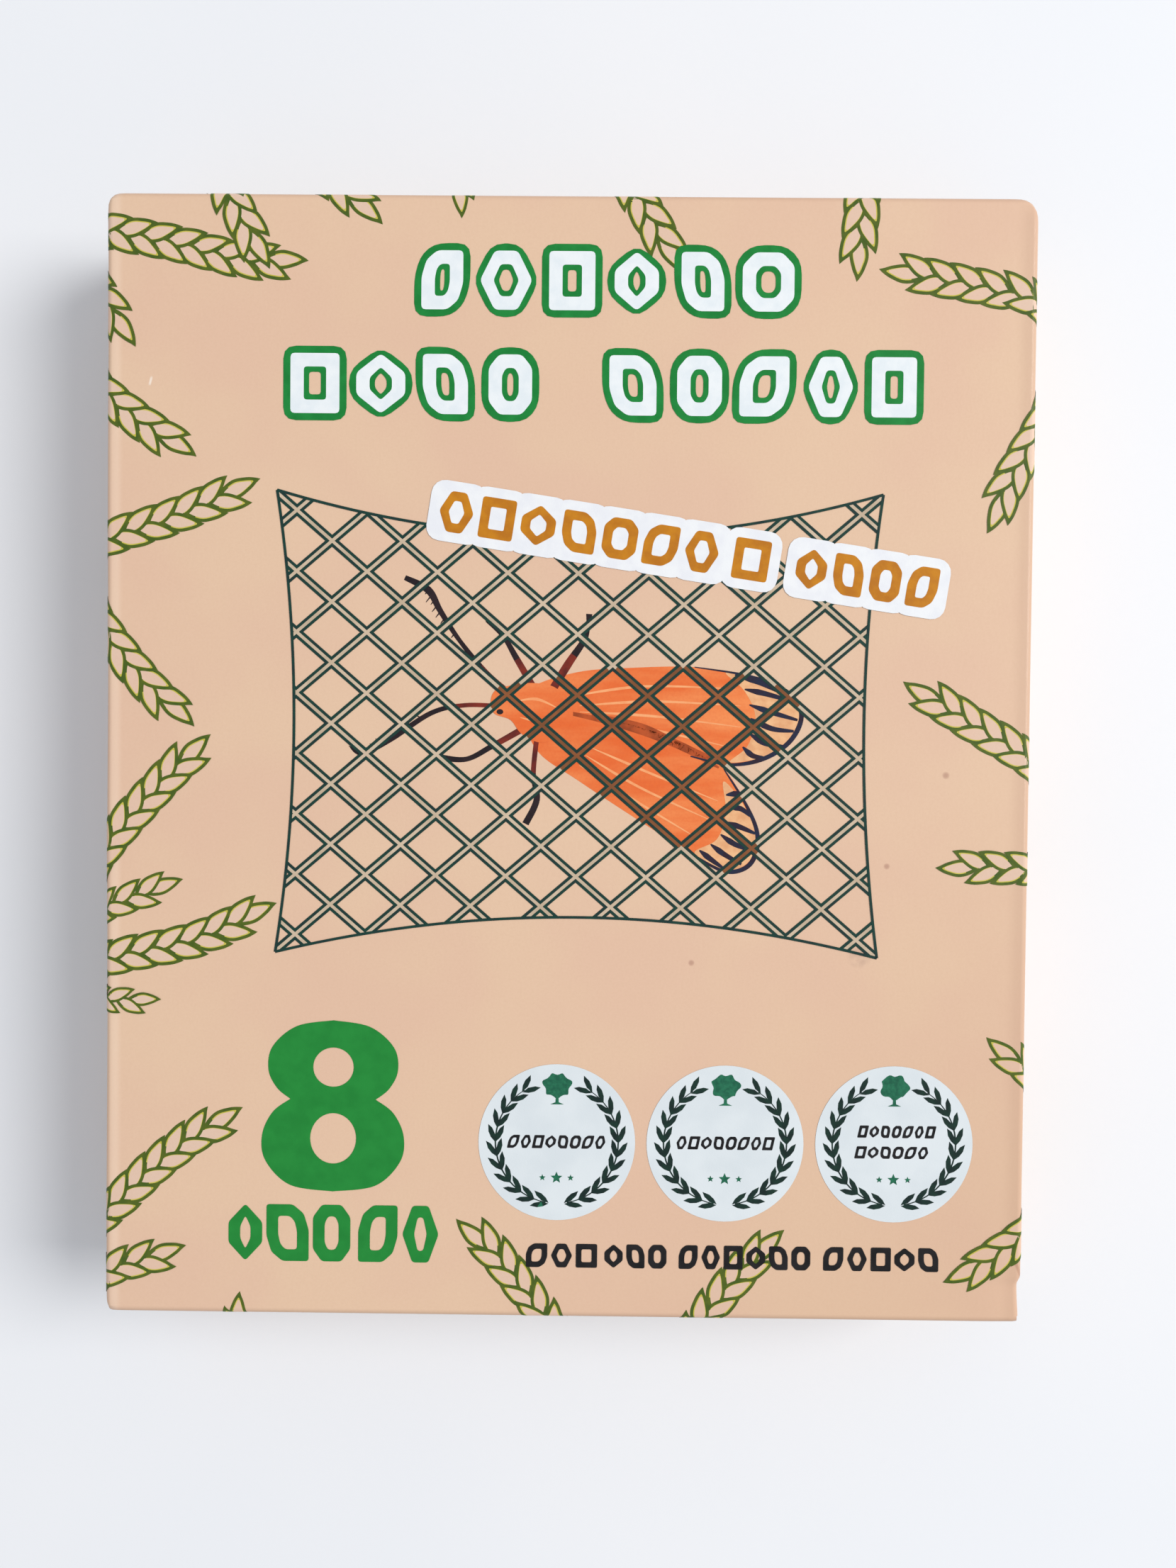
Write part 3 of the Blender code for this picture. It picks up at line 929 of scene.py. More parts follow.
def flat_piece(name, outlines):
    """A small flat mesh for a tree to repeat. Each outline is (points, lift at its foot, lift at its tip), growing
    along U."""
    work = bmesh.new()
    for outline, foot, tip in outlines:
        low, high = min(u for u, _ in outline), max(u for u, _ in outline)
        corners = []
        for u, v in outline:
            share = (u - low) / (high - low)
            corners.append(work.verts.new((u, v, (foot + (tip - foot) * share) * LAYER)))
        work.faces.new(corners)
    bmesh.ops.recalc_face_normals(work, faces=work.faces[:])
    face_up(work.faces)
    bmesh.ops.triangulate(work, faces=work.faces[:])
    mesh = bpy.data.meshes.new(name)
    work.to_mesh(mesh)
    work.free()
    return placed(name, mesh)


# ---------------------------------------------------------------- wheat

KERNEL_BACK = ((-1.3, -0.1), (0.4, 1.15), (2.6, 1.78), (4.8, 1.32), (6.1, 0.72), (6.8, 0.25))
KERNEL_BELLY = ((-1.3, -0.1), (0.3, -1.0), (2.5, -1.32), (4.7, -0.72), (6.0, -0.08), (6.8, 0.25))
KERNEL_SPACING = 1.98
KERNEL_LEAN = math.radians(22.0)
WHEAT_LINE = 0.64  # how wide a kernel's line is
WHEAT_SPLIT_U = -27.0  # the wheat is one piece on each side of this
DENT_AREA = ((64.0, 75.5), (-89.5, -70.0))  # the spans along U and V where it follows the dent
FINE_STEP = 0.5

# Each ear: its line from the side of the carton to its tip, in millimetres, and its size.
EARS = (
    (((-92, 91), (-84, 87), (-75, 84.7), (-65, 82.8), (-55, 80.5), (-49, 80)), 1.0),
    (((-93, 88), (-85, 84), (-78, 77), (-74, 71.5)), 1.0, 18),
    (((-94, 71), (-86, 67.5), (-75, 58.5), (-69, 54), (-66, 52)), 1.0),
    (((-95, 28), (-85, 32), (-75, 35.2), (-65, 38.5), (-56, 42.2)), 1.0),
    (((-92, 42), (-84, 33), (-75, 20.5), (-69, 13), (-65.5, 9.5)), 1.0, 18),
    (((-94, -42), (-84, -28), (-75, -15), (-66, -4.5), (-62.5, -1)), 1.0, 18),
    (((-95, -33), (-85, -29), (-75, -24.5), (-67.5, -21.8)), 0.85),
    (((-94, -40), (-85, -36), (-75, -33), (-62, -30), (-53, -26.4)), 1.0),
    (((-94, -36), (-84, -38), (-75, -39.3), (-70.5, -39.5)), 0.72, 36),
    (((-93, -88), (-84, -81.5), (-75, -74.5), (-68, -68), (-62, -63), (-58, -60.5)), 1.0),
    (((-92, -95), (-82, -88.5), (-75, -84.4), (-67.5, -81.8)), 0.95, 18),
    (((-57, 112), (-56.5, 96), (-53.5, 88), (-51.8, 84.5)), 1.0, 18),
    (((-52, 111), (-45, 99), (-38, 92.5), (-35.5, 90.2)), 1.0),
    (((-20, 112), (-18.8, 99), (-18.3, 92.6)), 0.85),
    (((2, 112), (7.2, 97), (11.5, 89), (14.3, 84)), 1.0),
    (((47.5, 112), (46.8, 97), (46.3, 88), (46, 84)), 1.0),
    (((96, 60), (87, 66), (76, 73.5), (70, 75.5), (63, 77), (56, 78.3)), 1.0),
    (((94, 92), (86, 76), (78, 59), (72, 48), (69.8, 43.5)), 1.0, 18),
    (((94, -14), (86, -7.5), (76, 0), (68, 5), (60, 10)), 1.0),
    (((95, -17.5), (86, -17), (76, -16.7), (66, -16.5)), 0.92, 18),
    (((92, -72), (86, -62), (79, -53), (73.5, -48)), 0.95),
    (((95, -61), (86, -67), (78, -74), (70, -80), (68, -81)), 1.0, 18),
    (((-55, -112), (-53.5, -98), (-53, -93.2)), 0.9),
    (((3, -112), (-1, -95), (-8, -84), (-12.3, -79.3)), 1.0),
    (((16, -112), (21, -95), (27.5, -85), (31.4, -80.8)), 1.0),
    # on the back
    (((126, 72), (138, 70), (150, 73), (160, 80)), 1.0),
    (((-128, -52), (-139, -58), (-150, -70), (-156, -82)), 1.0),
    (((-128, 62), (-140, 66), (-152, 74), (-162, 80)), 1.0),
    (((128, -60), (140, -66), (152, -72), (163, -83)), 1.0),
)


def kernel(shrink, shift=0.0):
    """A wheat kernel's outline, drawn in by an amount all round."""
    places = np.linspace(KERNEL_BACK[0][0], KERNEL_BACK[-1][0], 21)
    edges = []
    for points, way in ((KERNEL_BACK, -1), (KERNEL_BELLY, 1)):
        line = np.array(curve_through(points, 6, closed=False))
        edge = np.interp(places, line[:, 0], line[:, 1])
        edges.append(edge + way * shrink * np.sqrt(1 + np.gradient(edge, places) ** 2) - shift)
    kept = edges[0] - edges[1] > (-1.0 if shrink == 0 else 0.02)
    top = list(zip(places[kept], edges[0][kept], strict=True))
    low = list(zip(places[kept], edges[1][kept], strict=True))
    return low[1:-1] + top[::-1] if shrink == 0 else low + top[::-1]


def make_wheat(sprig):
    lines = spines("wheat_spines", EARS)
    art = Artwork("wheat", "wheat_line", "wheat_fringe", "wheat_kernel")
    layers = (
        ("wheat_line", kernel(0.0), 5.0, 19.0),
        ("wheat_fringe", kernel(WHEAT_LINE * 0.80), 6.0, 20.0),
        ("wheat_kernel", kernel(WHEAT_LINE, 0.05), 7.0, 21.0),
    )
    for ink_name, shape, foot, tip in layers:
        piece = flat_piece("kernel", [(shape, foot, tip)])
        sizes = {"Spacing": KERNEL_SPACING, "Lean": KERNEL_LEAN}
        art.mesh(grow(lines, sprig, Piece=piece, Ink=FINISHES[ink_name], **sizes), ink_name)
        bpy.data.objects.remove(piece)
    bpy.data.objects.remove(lines)
    art.lay("wheat_print_left", u=(-GIRTH, WHEAT_SPLIT_U), pitch=12.0)
    art.lay("wheat_print_right", u=(WHEAT_SPLIT_U, GIRTH), pitch=12.0, fine=DENT_AREA)
    lid_u = (-LID_HALF_W, LID_HALF_W)
    for label, sign in (("top", 1), ("bottom", -1)):
        start, fold, end = (sign * (FRONT_END + s) for s in (0.0, LID_FROM, LID_TO))
        over = art.lay(f"wheat_print_{label}_crease", sorted((start, fold)), lid_u, body=None)
        bend_over_lid(over)
        art.lay(f"wheat_print_{label}_lid", sorted((fold, end)), lid_u, 12.0, label + "_lid")


# ---------------------------------------------------------------- blocks that stand where words would be

# Plain outlines, as shares of a box: a leaf, a hexagon, an octagon, a rounded square and a leaf the other way.
MARKS = (
    ((0.0, 0.0), (0.62, 0.0), (0.88, 0.16), (1.0, 0.45), (1.0, 1.0), (0.38, 1.0), (0.12, 0.84), (0.0, 0.55)),
    ((0.28, 0.0), (0.72, 0.0), (1.0, 0.5), (0.72, 1.0), (0.28, 1.0), (0.0, 0.5)),
    ((0.0, 0.0), (1.0, 0.0), (1.0, 1.0), (0.0, 1.0)),
    ((0.5, 0.0), (1.0, 0.32), (1.0, 0.68), (0.5, 1.0), (0.0, 0.68), (0.0, 0.32)),
    ((0.38, 0.0), (1.0, 0.0), (1.0, 0.55), (0.88, 0.84), (0.62, 1.0), (0.0, 1.0), (0.0, 0.45), (0.12, 0.16)),
    ((0.24, 0.0), (0.76, 0.0), (1.0, 0.22), (1.0, 0.78), (0.76, 1.0), (0.24, 1.0), (0.0, 0.78), (0.0, 0.22)),
)


def softened(points, radius, per=3):
    """A polygon with its corners rounded."""
    made = []
    for i, corner in enumerate(points):
        here = Vector(corner)
        before, after = Vector(points[i - 1]) - here, Vector(points[(i + 1) % len(points)]) - here
        first = here + before.normalized() * min(radius, before.length * 0.45)
        last = here + after.normalized() * min(radius, after.length * 0.45)
        for step in range(per + 1):
            t = step / per
            point = first * (1 - t) ** 2 + here * 2 * t * (1 - t) + last * t * t
            made.append((point.x, point.y))
    return made


def mark(low_u, high_u, low_v, high_v, number, radius):
    wide, tall = high_u - low_u, high_v - low_v
    return softened([(low_u + a * wide, low_v + b * tall) for a, b in MARKS[number % len(MARKS)]], radius)


def turned(points, u, v, degrees, shear=0.0):
    """Points moved from a line's own coordinates to the face."""
    c, s = math.cos(math.radians(degrees)), math.sin(math.radians(degrees))
    return [(u + (a + shear * b) * c - b * s, v + (a + shear * b) * s + b * c) for a, b in points]


def even_marks(start, end, count, gap):
    """Boxes of equal width between two ends."""
    wide = (end - start - gap * (count - 1)) / count
    return [(start + i * (wide + gap), start + i * (wide + gap) + wide) for i in range(count)]


TITLE_EDGE = 1.15
TITLE_STROKE = 2.15
TITLE_LINES = (
    (71.2, 82.9, ((-25.2, -16.2), (-15.8, -5.1), (-4.7, 5.0), (5.8, 15.2), (16.5, 25.7), (26.3, 36.9)), 0),
    (54.5, 66.4, ((-46.2, -36.0), (-35.6, -25.4), (-24.9, -15.3), (-14.3, -5.0)), 2),
    (54.5, 66.4, ((5.1, 15.0), (16.0, 25.5), (26.0, 36.3), (37.0, 46.6), (47.2, 56.7)), 4),
)


def make_title():
    edge = Artwork("title_outline_ink", "title_green")
    face = Artwork("title_tile_ink", "title_white")
    for low_v, high_v, boxes, first in TITLE_LINES:
        for number, (low_u, high_u) in enumerate(boxes):
            shape, over = number + first, number % 2
            edge.tile((low_u, high_u, low_v, high_v), shape, TITLE_STROKE + 2.0, OVER_WHEAT + over, 2.08, 0.5)
            inner = (low_u + TITLE_EDGE, high_u - TITLE_EDGE, low_v + TITLE_EDGE, high_v - TITLE_EDGE)
            face.tile(inner, shape, TITLE_STROKE, OVER_DISCS + over, 0.7, 0.5)
    edge.lay()
    face.lay()


TAGLINE_U, TAGLINE_V, TAGLINE_FALL = -21.3, 40.4, -8.6


def make_tagline():
    """Ochre marks on a white edge, in a line that falls to the right."""

    def move(points):
        return turned(points, TAGLINE_U, TAGLINE_V, TAGLINE_FALL)

    edge = Artwork("tagline_edge_ink", "tagline_white")
    face = Artwork("tagline_tile_ink", "tagline_ochre")
    boxes = even_marks(0.4, 46.0, 7, 1.1) + [(48.4, 54.2)] + even_marks(58.6, 81.6, 4, 1.1)
    for number, (low_u, high_u) in enumerate(boxes):
        edge.shape(move(rounded(low_u - 1.7, high_u + 1.7, -4.9, 4.9, 2.2)), OVER_NET + number % 2)
        face.tile((low_u, high_u, -3.3, 3.3), number + 1, 1.5, OVER_NET + 8, 0.5, 0.3, move)
    edge.lay()
    face.lay()


UPPER_BOWL = ((-37.5, -42.5), (-31.6, -43.5), (-27.7, -46.8), (-27.0, -50.6), (-28.4, -53.6), (-30.6, -55.4))
LOWER_BOWL = ((-30.6, -55.4), (-27.7, -57.6), (-26.0, -61.4), (-26.6, -65.6), (-30.6, -69.5), (-37.5, -70.5))
NOUN_MARKS = ((-54.5, -49.0), (-48.3, -41.4), (-40.7, -34.6), (-33.3, -26.9), (-26.1, -20.2))


def make_numeral():
    """The plain number of traps in the pack, and marks for its noun."""
    middle = -37.55
    right = curve_through(UPPER_BOWL, 8, closed=False)[:-1] + curve_through(LOWER_BOWL, 8, closed=False)
    left = [(2 * middle - u, v) for u, v in reversed(right[1:-1])]
    holes = (circle(-37.5, -50.15, 3.3, 40, 0.97), circle(-37.5, -61.8, 3.75, 40, 1.1))
    art = Artwork("numeral_eight_ink", "numeral_green")
    art.shape(right + left, OVER_WHEAT, holes=holes)
    art.lay()
    words = Artwork("numeral_word_ink", "numeral_green")
    for number, (low_u, high_u) in enumerate(NOUN_MARKS, 3):
        words.tile((low_u, high_u, -82.0, -72.7), number, 1.9, OVER_WHEAT, 0.5, 0.5)
    words.lay()


BADGES = ((-1.05, -62.0), (26.3, -61.9), (53.7, -61.7))
BADGE_R = 12.75
BADGE_SLANT = 0.22
WREATH_R = 10.0
WREATH_LEAF = ((-0.5, 0.06), (0.2, 0.75), (1.1, 1.2), (2.3, 1.3), (1.75, 0.62), (0.7, 0.08))


def star(u, v, size):
    """A five-pointed star."""
    reach = enumerate((size, size * 0.45) * 5)
    return [(u + far * math.sin(math.pi * i / 5), v + far * math.cos(math.pi * i / 5)) for i, far in reach]


def add_tree(art, u, v, number):
    """A small tree: a leafy crown, its trunk and the ground under it."""
    angle = np.arange(44) * 2 * math.pi / 44
    across = (2.25 + 0.30 * np.sin(5.0 * angle + number)) * np.cos(angle)
    up = (1.95 + 0.22 * np.sin(7.0 * angle)) * np.sin(angle)
    art.shape([*zip(u + across, v + 9.3 + up, strict=True)], OVER_DISCS, "badge_tree")
    for foot, top, low, high, over in ((0.28, 0.2, 6.4, 7.9, 2), (1.1, 0.3, 6.2, 6.55, 4)):
        outline = [(u - foot, v + low), (u + foot, v + low), (u + top, v + high), (u - top, v + high)]
        art.shape(outline, OVER_DISCS + over, "badge_tree")


def make_badges(sprig):
    disc = Artwork("badge_disc_ink", "badge_white")
    art = Artwork("badge_art_ink", "badge_wreath", "badge_tree")
    bars = Artwork("badge_bar_ink", "plain_black")
    halves = []
    for number, (u, v) in enumerate(BADGES):
        disc.shape(circle(u, v, BADGE_R, 72), OVER_WHEAT)
        for side in (-1, 1):
            angles = [math.radians(-80 + 138 * i / 24) for i in range(25)]
            arc = [(u + side * WREATH_R * math.cos(a), v + WREATH_R * math.sin(a)) for a in angles]
            halves.append((arc, 1.0))
            art.strip(arc, (0.16, 0.25, 0.25, 0.12), OVER_WHEAT + 4, "badge_wreath")
        add_tree(art, u, v, number)
        for shift, size in ((-2.3, 0.55), (0.0, 1.0), (2.3, 0.55)):
            art.shape(star(u + shift, v - 5.8, size), OVER_DISCS, "badge_tree")

        def slanted(points, u=u, v=v):
            return turned(points, u, v, 0.0, BADGE_SLANT)

        rows = ((-1.0, 1.15, 7.9, 8),) if number < 2 else ((1.05, 3.05, 6.2, 7), (-2.35, -0.35, 5.9, 6))
        for low, high, half, count in rows:
            for place, (start, end) in enumerate(even_marks(-half, half, count, 0.34), number):
                bars.tile((start, end, low, high), place, 0.46, OVER_DISCS, 0.15, 0.15, slanted)
    both = [(WREATH_LEAF, 33.0, 34.0), ([(x, -y) for x, y in reversed(WREATH_LEAF)], 35.0, 36.0)]
    piece = flat_piece("wreath_leaf", both)
    lines = spines("wreath_lines", halves)
    art.mesh(grow(lines, sprig, Piece=piece, Spacing=2.28, Lean=0.0, Ink=FINISHES["badge_wreath"]), "badge_wreath")
    for used in (piece, lines):
        bpy.data.objects.remove(used)
    for made in (disc, art, bars):
        made.lay()


def make_bottom_line():
    art = Artwork("bottom_line_ink", "plain_black")
    words = ((-5.9, 5.7, 3), (6.9, 17.0, 3), (19.0, 40.4, 6), (42.5, 61.2, 5))
    boxes = [place for start, end, count in words for place in even_marks(start, end, count, 0.6)]
    for number, (low_u, high_u) in enumerate(boxes):
        art.tile((low_u, high_u, -82.5, -78.6), number, 0.9, OVER_WHEAT + 2, 0.3, 0.3)
    art.lay()


# ---------------------------------------------------------------- net and moth

NET_PITCH_U, NET_PITCH_V = 11.37, 9.8
NET_SLOPE = NET_PITCH_V / NET_PITCH_U
NET_AT_U, NET_AT_V = -38.2, 15.6
NET_STRANDS = 26
NET_REACH = 110.0  # half a strand's length across, before it is trimmed
NET_SPARE = 1.2  # left on round the frame for the exact trim
NET_LEFT, NET_RIGHT, NET_LOW, NET_HIGH = -47.1, 50.5, -31.4, 43.3
# The middle and half the length of the frame's sides along U and along V.
NET_SPANS = tuple(((low + high) / 2, (high - low) / 2) for low, high in ((NET_LEFT, NET_RIGHT), (NET_LOW, NET_HIGH)))
# Each side: the axis that it runs along, which way is out, and how far out its middle and its corners are.
NET_SIDES = ((0, 1.0, 36.2, NET_HIGH), (0, -1.0, -25.3, NET_LOW), (1, -1.0, -44.2, NET_LEFT), (1, 1.0, 47.9, NET_RIGHT))


def inside(u, v, outline):
    """Whether a point lies in a closed outline."""
    crossings = 0
    for (u0, v0), (u1, v1) in zip(outline, outline[1:] + outline[:1], strict=True):
        crossings += (v0 > v) != (v1 > v) and u < u0 + (v - v0) * (u1 - u0) / (v1 - v0)
    return crossings % 2 == 1


def net_side(axis, middle, corner, place):
    """How far out a side of the net's frame is at a place along it."""
    centre, half = NET_SPANS[axis]
    share = (place - centre) / half
    return middle + (corner - middle) * share * share


def trim_to_frame(work, margin):
    """Cuts the strands off along the bowed frame."""
    for axis, way, middle, corner in NET_SIDES:
        for face in list(work.faces):
            corners = list(face.verts)
            spare = [way * (net_side(axis, middle, corner, v.co[axis]) - v.co[1 - axis]) - margin for v in corners]
            if min(spare) >= 0:
                continue
            kept = []
            for i in range(len(corners)):
                before, here = spare[i - 1], spare[i]
                if (before < 0) != (here < 0):
                    kept.append(work.verts.new(corners[i - 1].co.lerp(corners[i].co, before / (before - here))))
                if here >= 0:
                    kept.append(corners[i])
            slot = face.material_index
            work.faces.remove(face)
            if len(kept) > 2:
                work.faces.new(kept).material_index = slot
    bmesh.ops.delete(work, geom=[vertex for vertex in work.verts if not vertex.link_faces], context="VERTS")


def make_net():
    tree = net_tree()
    lines = Artwork("net_line_print", "net_line")
    core = Artwork("net_core_print", "net_core", "net_core_on_wing")
    seed = flat_piece("net_seed", [([(0, 0), (1, 0), (0, 1)], 0, 1)])
    start = {"Pitch": NET_PITCH_U, "Start_U": NET_AT_U - NET_STRANDS / 2 * NET_PITCH_U, "Start_V": NET_AT_V}
    strands = (
        (lines, "net_line", OVER_WHEAT, {"Width": 1.46, "Segment": 5.0}),
        (core, "net_core", OVER_DISCS, {"Width": 0.50, "Segment": 0.5}),
    )
    for art, ink_name, lift, sizes in strands:
        for slope, over in ((NET_SLOPE, 0), (-NET_SLOPE, 2)):
            sizes.update(start, Slope=slope, Lift=(lift + over) * LAYER)
            art.mesh(grow(seed, tree, Ink=FINISHES[ink_name], **sizes), ink_name)
    bpy.data.objects.remove(seed)
    trim_to_frame(lines.work, 0.0)
    trim_to_frame(core.work, 0.25)
    wings = [curve_through(outline, 4) for outline in (UPPER_WING, LOWER_WING, BODY)]
    for face in core.work.faces:
        middle = face.calc_center_median()
        if any(inside(middle.x, middle.y, wing) for wing in wings):
            face.material_index = 1
    for number, (axis, _, middle, corner) in enumerate(NET_SIDES):
        centre, half = NET_SPANS[axis]
        places = np.linspace(centre - half, centre + half, 41)
        side = [(net_side(axis, middle, corner, place), place) for place in places]
        lines.strip(side if axis else [point[::-1] for point in side], (0.44, 0.44), OVER_DISCS + 5 + number % 2)
    lines.lay()
    core.lay()


UPPER_WING = (
    (-6.2, 11.6), (1.5, 14.4), (10.5, 15.2), (20.5, 15.4), (29.5, 14.0), (35.4, 11.6), (37.8, 8.0), (36.2, 3.8),
    (32.0, 0.8), (26.4, -0.3), (20.0, 1.0), (10.0, 3.4), (-1.5, 5.0), (-6.8, 7.2),
)
LOWER_WING = (
    (-6.0, 6.4), (2.0, 6.6), (11.0, 5.2), (19.5, 2.4), (25.4, -1.0), (29.2, -7.0), (31.0, -12.0), (29.8, -16.4),
    (25.8, -17.6), (20.4, -14.8), (11.0, -9.0), (2.0, -3.2), (-4.6, 1.4),
)
UPPER_TIP = (
    (25.5, 14.6), (30.2, 13.7), (35.2, 11.4), (37.5, 8.0), (36.0, 4.0), (32.0, 1.1), (26.4, 0.1), (29.2, 2.8),
    (30.4, 7.4), (28.6, 11.6),
)
LOWER_TIP = (
    (25.4, -3.0), (28.9, -7.2), (30.7, -12.0), (29.5, -16.1), (25.8, -17.3), (20.8, -14.7), (24.4, -12.4),
    (25.8, -8.0),
)
TIP_STRIPES = (
    ((27.0, 14.2), (31.0, 13.0), (34.9, 11.2)),
    ((28.6, 11.9), (32.0, 11.2), (36.3, 10.0)),
    ((29.4, 9.4), (33.0, 8.2), (37.2, 7.0)),
    ((29.6, 7.2), (33.0, 5.6), (36.6, 5.2)),
    ((29.4, 4.8), (32.0, 3.2), (34.8, 2.8)),
    ((28.4, 2.6), (30.0, 1.2), (31.8, 0.9)),
    ((25.8, -5.2), (27.6, -5.0), (28.0, -5.6)),
    ((26.0, -7.2), (28.2, -7.4), (29.8, -8.6)),
    ((25.8, -9.6), (28.2, -10.4), (30.6, -11.4)),
    ((25.0, -11.6), (27.4, -13.2), (30.4, -14.2)),
    ((23.4, -13.2), (25.6, -14.8), (28.4, -16.4)),
    ((21.6, -14.2), (23.4, -15.6), (25.4, -17.0)),
)
VEINS = (
    ((0.0, 10.4), (12.0, 12.2), (26.0, 12.0)),
    ((2.0, 9.0), (14.0, 9.8), (28.0, 9.2)),
    ((2.0, 8.0), (14.0, 7.4), (28.0, 5.8)),
    ((4.0, 6.8), (15.0, 5.0), (26.0, 2.6)),
    ((4.0, 2.2), (13.0, -1.6), (24.5, -6.2)),
    ((3.0, 1.0), (12.0, -4.2), (24.0, -9.6)),
    ((2.0, -0.6), (11.0, -6.2), (21.5, -12.4)),
)
FOLDS = (
    ((-4.0, 8.6), (6.0, 6.6), (16.0, 3.6), (24.6, -0.8)),
    ((4.0, 7.6), (12.0, 5.8), (19.0, 2.4), (25.4, 0.0)),
)
BODY = (
    (-12.4, 9.6), (-11.6, 11.4), (-9.0, 12.2), (-5.6, 12.6), (-2.2, 12.0), (0.4, 9.6), (0.8, 6.6), (-1.4, 4.0),
    (-4.4, 3.0), (-7.4, 4.4), (-9.2, 6.6), (-11.8, 7.6),
)
# Each leg: its line from the body out, its widths along it, and how much of it is red.
LEGS = (
    (
        ((-8.8, 10.4), (-13.0, 14.0), (-17.4, 19.2), (-20.6, 24.0), (-22.6, 27.4), (-26.4, 29.4)),
        (1.1, 0.9, 0.7, 0.9, 1.2, 0.8),
        1 / 4,
    ),
    (((-5.0, 11.0), (-8.2, 16.4), (-10.4, 20.0), (-13.2, 22.6)), (1.2, 1.0, 0.7, 0.45), 1 / 3),
    (((-3.0, 10.6), (0.0, 15.6), (2.4, 19.2), (3.2, 21.2), (3.4, 23.8)), (1.3, 1.3, 1.0, 0.6, 1.0), 1 / 3),
    (
        ((-10.6, 8.8), (-16.6, 8.9), (-22.0, 7.6), (-28.4, 3.4), (-33.0, 1.2), (-34.9, 2.2)),
        (0.7, 0.7, 0.8, 0.9, 1.2, 0.8),
        1 / 4,
    ),
    (((-6.4, 5.6), (-12.0, 2.4), (-16.2, 0.2), (-20.4, 0.4)), (1.1, 0.9, 0.8, 1.0), 1 / 3),
    (((-4.8, 4.6), (-5.4, -2.0), (-4.8, -6.2), (-6.6, -10.2)), (0.8, 0.8, 1.0, 1.1), 1 / 3),
)
# The two long legs have bristles: which leg, and which way they point.
BRISTLES = ((0, (-0.6, -0.75)), (3, (-0.9, 0.5)))
BODY_STRIPES = (((-8.4, 9.6), (-5.0, 10.0), (-1.6, 8.6)), ((-7.6, 7.0), (-4.6, 6.4), (-1.8, 6.8)))
EYES = ((-9.9, 11.0), (-10.9, 7.9))


def make_moth():
    """A plain moth of no kind in particular, seen from above."""
    wings = Artwork("moth_wing_print", "wing_orange", "wing_tip", "wing_stripe", "wing_vein", "wing_fold")
    shapes = ((LOWER_WING, 6, "orange"), (UPPER_WING, 9, "orange"), (LOWER_TIP, 12, "tip"), (UPPER_TIP, 12, "tip"))
    for outline, lift, shade in shapes:
        wings.shape(curve_through(outline, 7), lift, "wing_" + shade)
    strokes = (
        (VEINS, 8, (0.1, 0.45, 0.35, 0.1), 15, "vein"),
        (FOLDS, 8, (0.3, 0.9, 1.3, 0.3), 17, "fold"),
        (TIP_STRIPES, 6, (0.2, 0.95, 0.75, 0.4), 17, "stripe"),
        ((UPPER_WING[3:11], LOWER_WING[4:10]), 8, (0.15, 0.6, 0.8, 0.7, 0.2), 19, "stripe"),
    )
    for lines, per, widths, lift, shade in strokes:
        for line in lines:
            wings.strip(curve_through(line, per, closed=False), widths, lift, "wing_" + shade)
    wings.lay()
    body = Artwork("moth_body_print", "wing_orange", "leg_red", "leg_black", "wing_vein")
    paths = [curve_through(line, 8, closed=False) for line, _, _ in LEGS]
    for path, (_, widths, red) in zip(paths, LEGS, strict=True):
        part = int(len(path) * red)
        span = list(np.interp(np.linspace(0, 1, len(path)), np.linspace(0, 1, len(widths)), widths))
        body.strip(path[: part + 1], span[: part + 1], 12, "leg_red")
        body.strip(path[part:], span[part:], 13, "leg_black")
    for leg, (way_u, way_v) in BRISTLES:
        for place in range(int(len(paths[leg]) * 0.45), len(paths[leg]) - 5, 2):
            u, v = paths[leg][place]
            reach = 1.3 + 0.5 * math.sin(place * 1.7)
            tip = (u + reach * way_u, v + reach * way_v)
            body.strip([(u, v), ((u + tip[0]) / 2, (v + tip[1]) / 2), tip], (0.3, 0.1), 15, "leg_black")
    body.shape(curve_through(BODY, 7), 21, "wing_orange")
    for u, v in EYES:
        body.shape(circle(u, v, 0.55, 14, 0.8), 24, "leg_black")
    for line in BODY_STRIPES:
        body.strip(curve_through(line, 6, closed=False), (0.1, 0.5, 0.1), 23, "wing_vein")
    body.lay()


# ---------------------------------------------------------------- back and sides


def make_back():
    """A plain white field with grey rules and two round pictures of a card, where the directions would be."""
    middle = GIRTH / 2
    half = FLAT_W - 18.0
    art = Artwork("back_panel_ink", "badge_white", "back_rule", "numeral_green", "wing_orange")
    for side in (-1, 1):
        low, high = sorted((side * (middle - half), side * middle))
        art.shape(rounded(low, high, -60.0, 60.0, 0.4), 10, "badge_white")
    for side in (-1, 1):
        for row in range(17):
            width = half - 10.0 - (9.0 if row % 5 == 4 else 2.0 * (row % 3))
            low, high = sorted((side * (middle - 6.0), side * (middle - 6.0 - width * 0.8)))
            art.shape(rounded(low, high, 2.0 - row * 3.2, 3.1 - row * 3.2, 0.4), 18, "back_rule")
    for side in (-1, 1):
        u, v = side * (middle - 36.0), 30.0
        art.shape(circle(u, v, 15.0), 18, "numeral_green")
        art.shape(circle(u, v, 13.6), 20, "badge_white")
        art.shape(rounded(u - 6.5, u + 6.5, v - 8.5, v + 8.5, 1.6), 24, "wing_orange")
        art.shape(rounded(u - 5.3, u + 5.3, v - 7.3, v + 7.3, 0.8), 28, "badge_white")
        art.shape(circle(u, v, 2.6 + 0.8 * side, 32), 32, "wing_orange")
    art.lay("back_panel_print")


# ---------------------------------------------------------------- putting it together


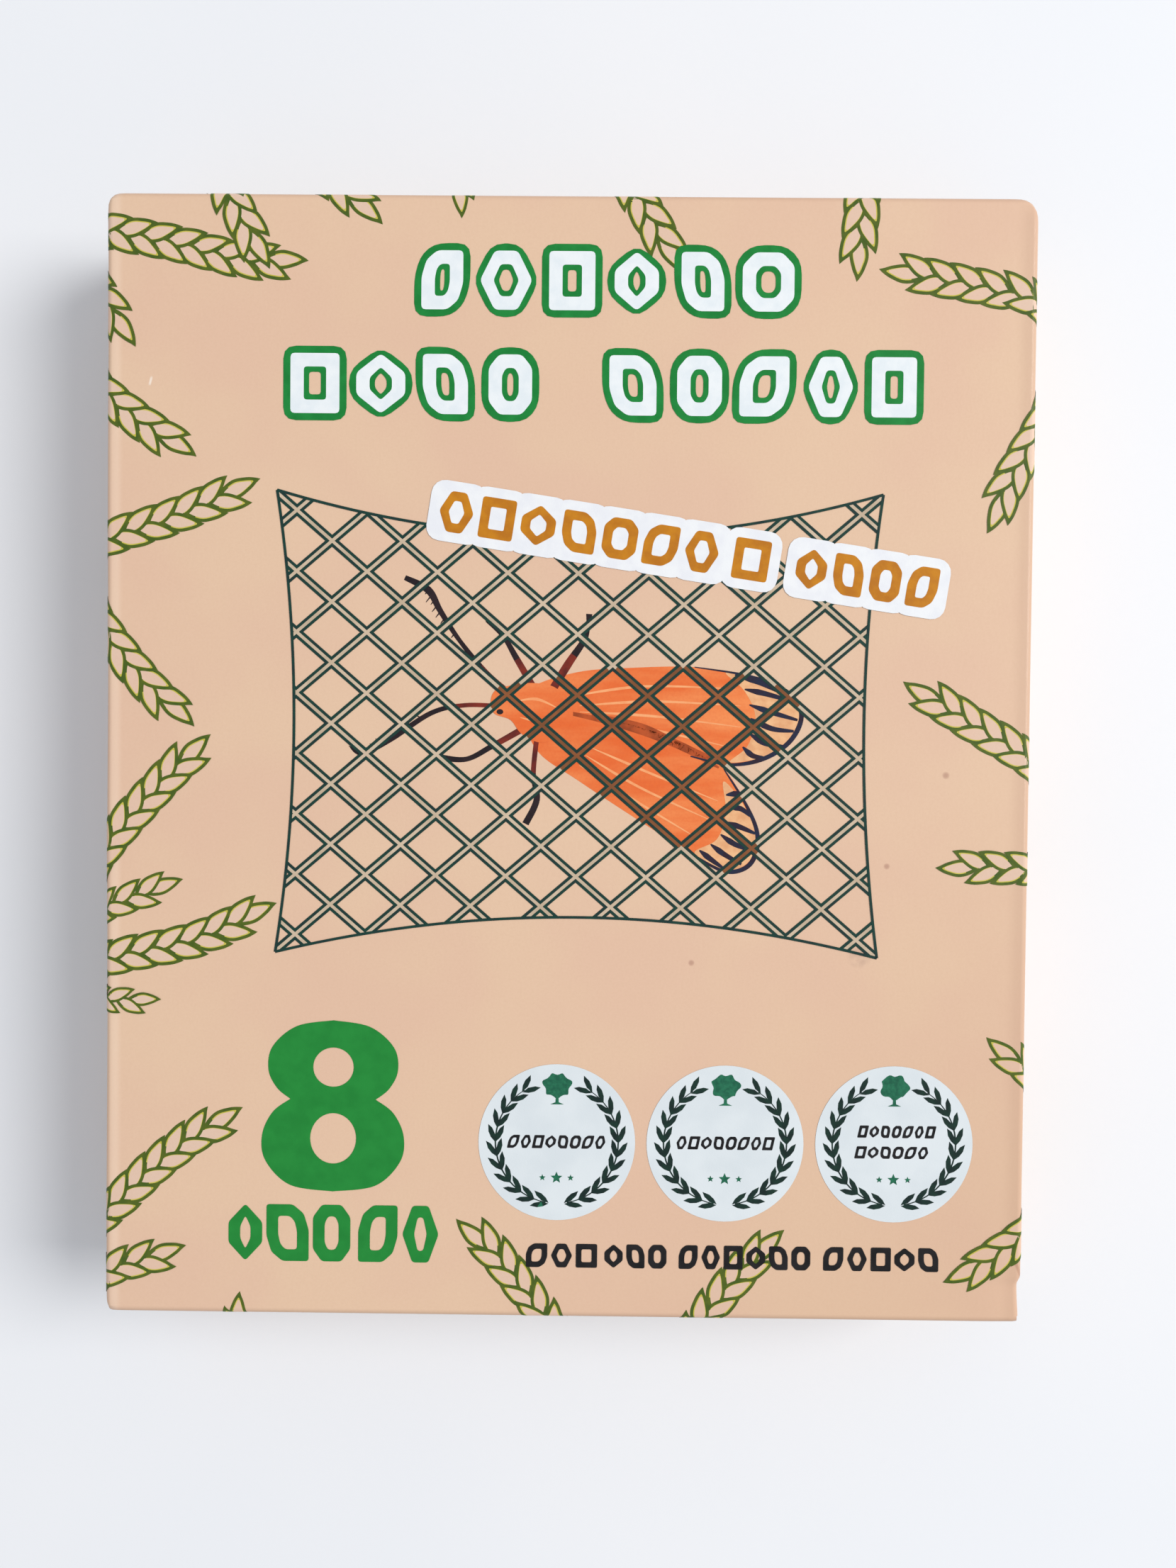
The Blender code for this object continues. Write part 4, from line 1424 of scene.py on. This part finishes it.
def finish_cad_nodes():
    """Procedural finishes for the nodes whose shape stays as it is."""
    finishes = {
        "card": trap_card_finish(),
        "glue": glue_finish(),
        "liner": liner_finish(),
        "lure": lure_finish(),
        "leaflet": leaflet_finish(),
        "tuck": FINISHES["flap_board"],
        "dust": FINISHES["flap_board"],
        "seam": FINISHES["board_inside"],
    }
    for name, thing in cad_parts.items():
        for word, finish in finishes.items():
            if word in name:
                thing.material_slots[0].link = "OBJECT"
                thing.material_slots[0].material = finish


def make_table():
    reach = 3.0
    corners = [(-reach, -reach, 0), (reach, -reach, 0), (reach, reach, 0), (-reach, reach, 0)]
    mesh = bpy.data.meshes.new("table")
    mesh.from_pydata(corners, [], [(0, 1, 2, 3)])
    mesh.materials.append(table_finish())
    placed("table", mesh)


WINDOW_AT = (1.9, 0.45, 1.75)
WINDOW_SIZE, WINDOW_POWER = 1.5, 53.0
SKY_STRENGTH = 0.56
CAMERA_AT = (0.0048, 0.0004, DEPTH * MM + 0.1970)
CAMERA_TURN = (-1.17, 0.40, 0.56)  # degrees


def make_studio():
    """A bright even sky, one soft window from the right, and the camera straight above."""
    scene = bpy.context.scene
    scene.view_settings.view_transform = "Standard"
    scene.world = bpy.data.worlds.new("studio")
    scene.world.use_nodes = True
    sky = scene.world.node_tree.nodes["Background"]
    sky.inputs["Color"].default_value = (0.93, 0.95, 1.0, 1.0)
    sky.inputs["Strength"].default_value = SKY_STRENGTH
    light = bpy.data.lights.new("window", "AREA")
    light.shape, light.size, light.energy, light.color = "DISK", WINDOW_SIZE, WINDOW_POWER, (1.0, 0.985, 0.96)
    window = placed("window", light)
    window.location = WINDOW_AT
    window.rotation_euler = (-Vector(WINDOW_AT)).to_track_quat("-Z", "Y").to_euler()
    data = bpy.data.cameras.new("camera")
    data.lens, data.sensor_width, data.clip_start = 28.0, 36.0, 0.005
    scene.camera = placed("camera", data)
    scene.camera.location = CAMERA_AT
    scene.camera.rotation_euler = tuple(math.radians(angle) for angle in CAMERA_TURN)


def main():
    make_studio()
    make_table()
    make_sleeve()
    make_ends()
    sprig = sprig_tree()
    make_wheat(sprig)
    make_title()
    make_tagline()
    make_numeral()
    make_badges(sprig)
    make_bottom_line()
    make_net()
    make_moth()
    make_back()
    finish_cad_nodes()


main()
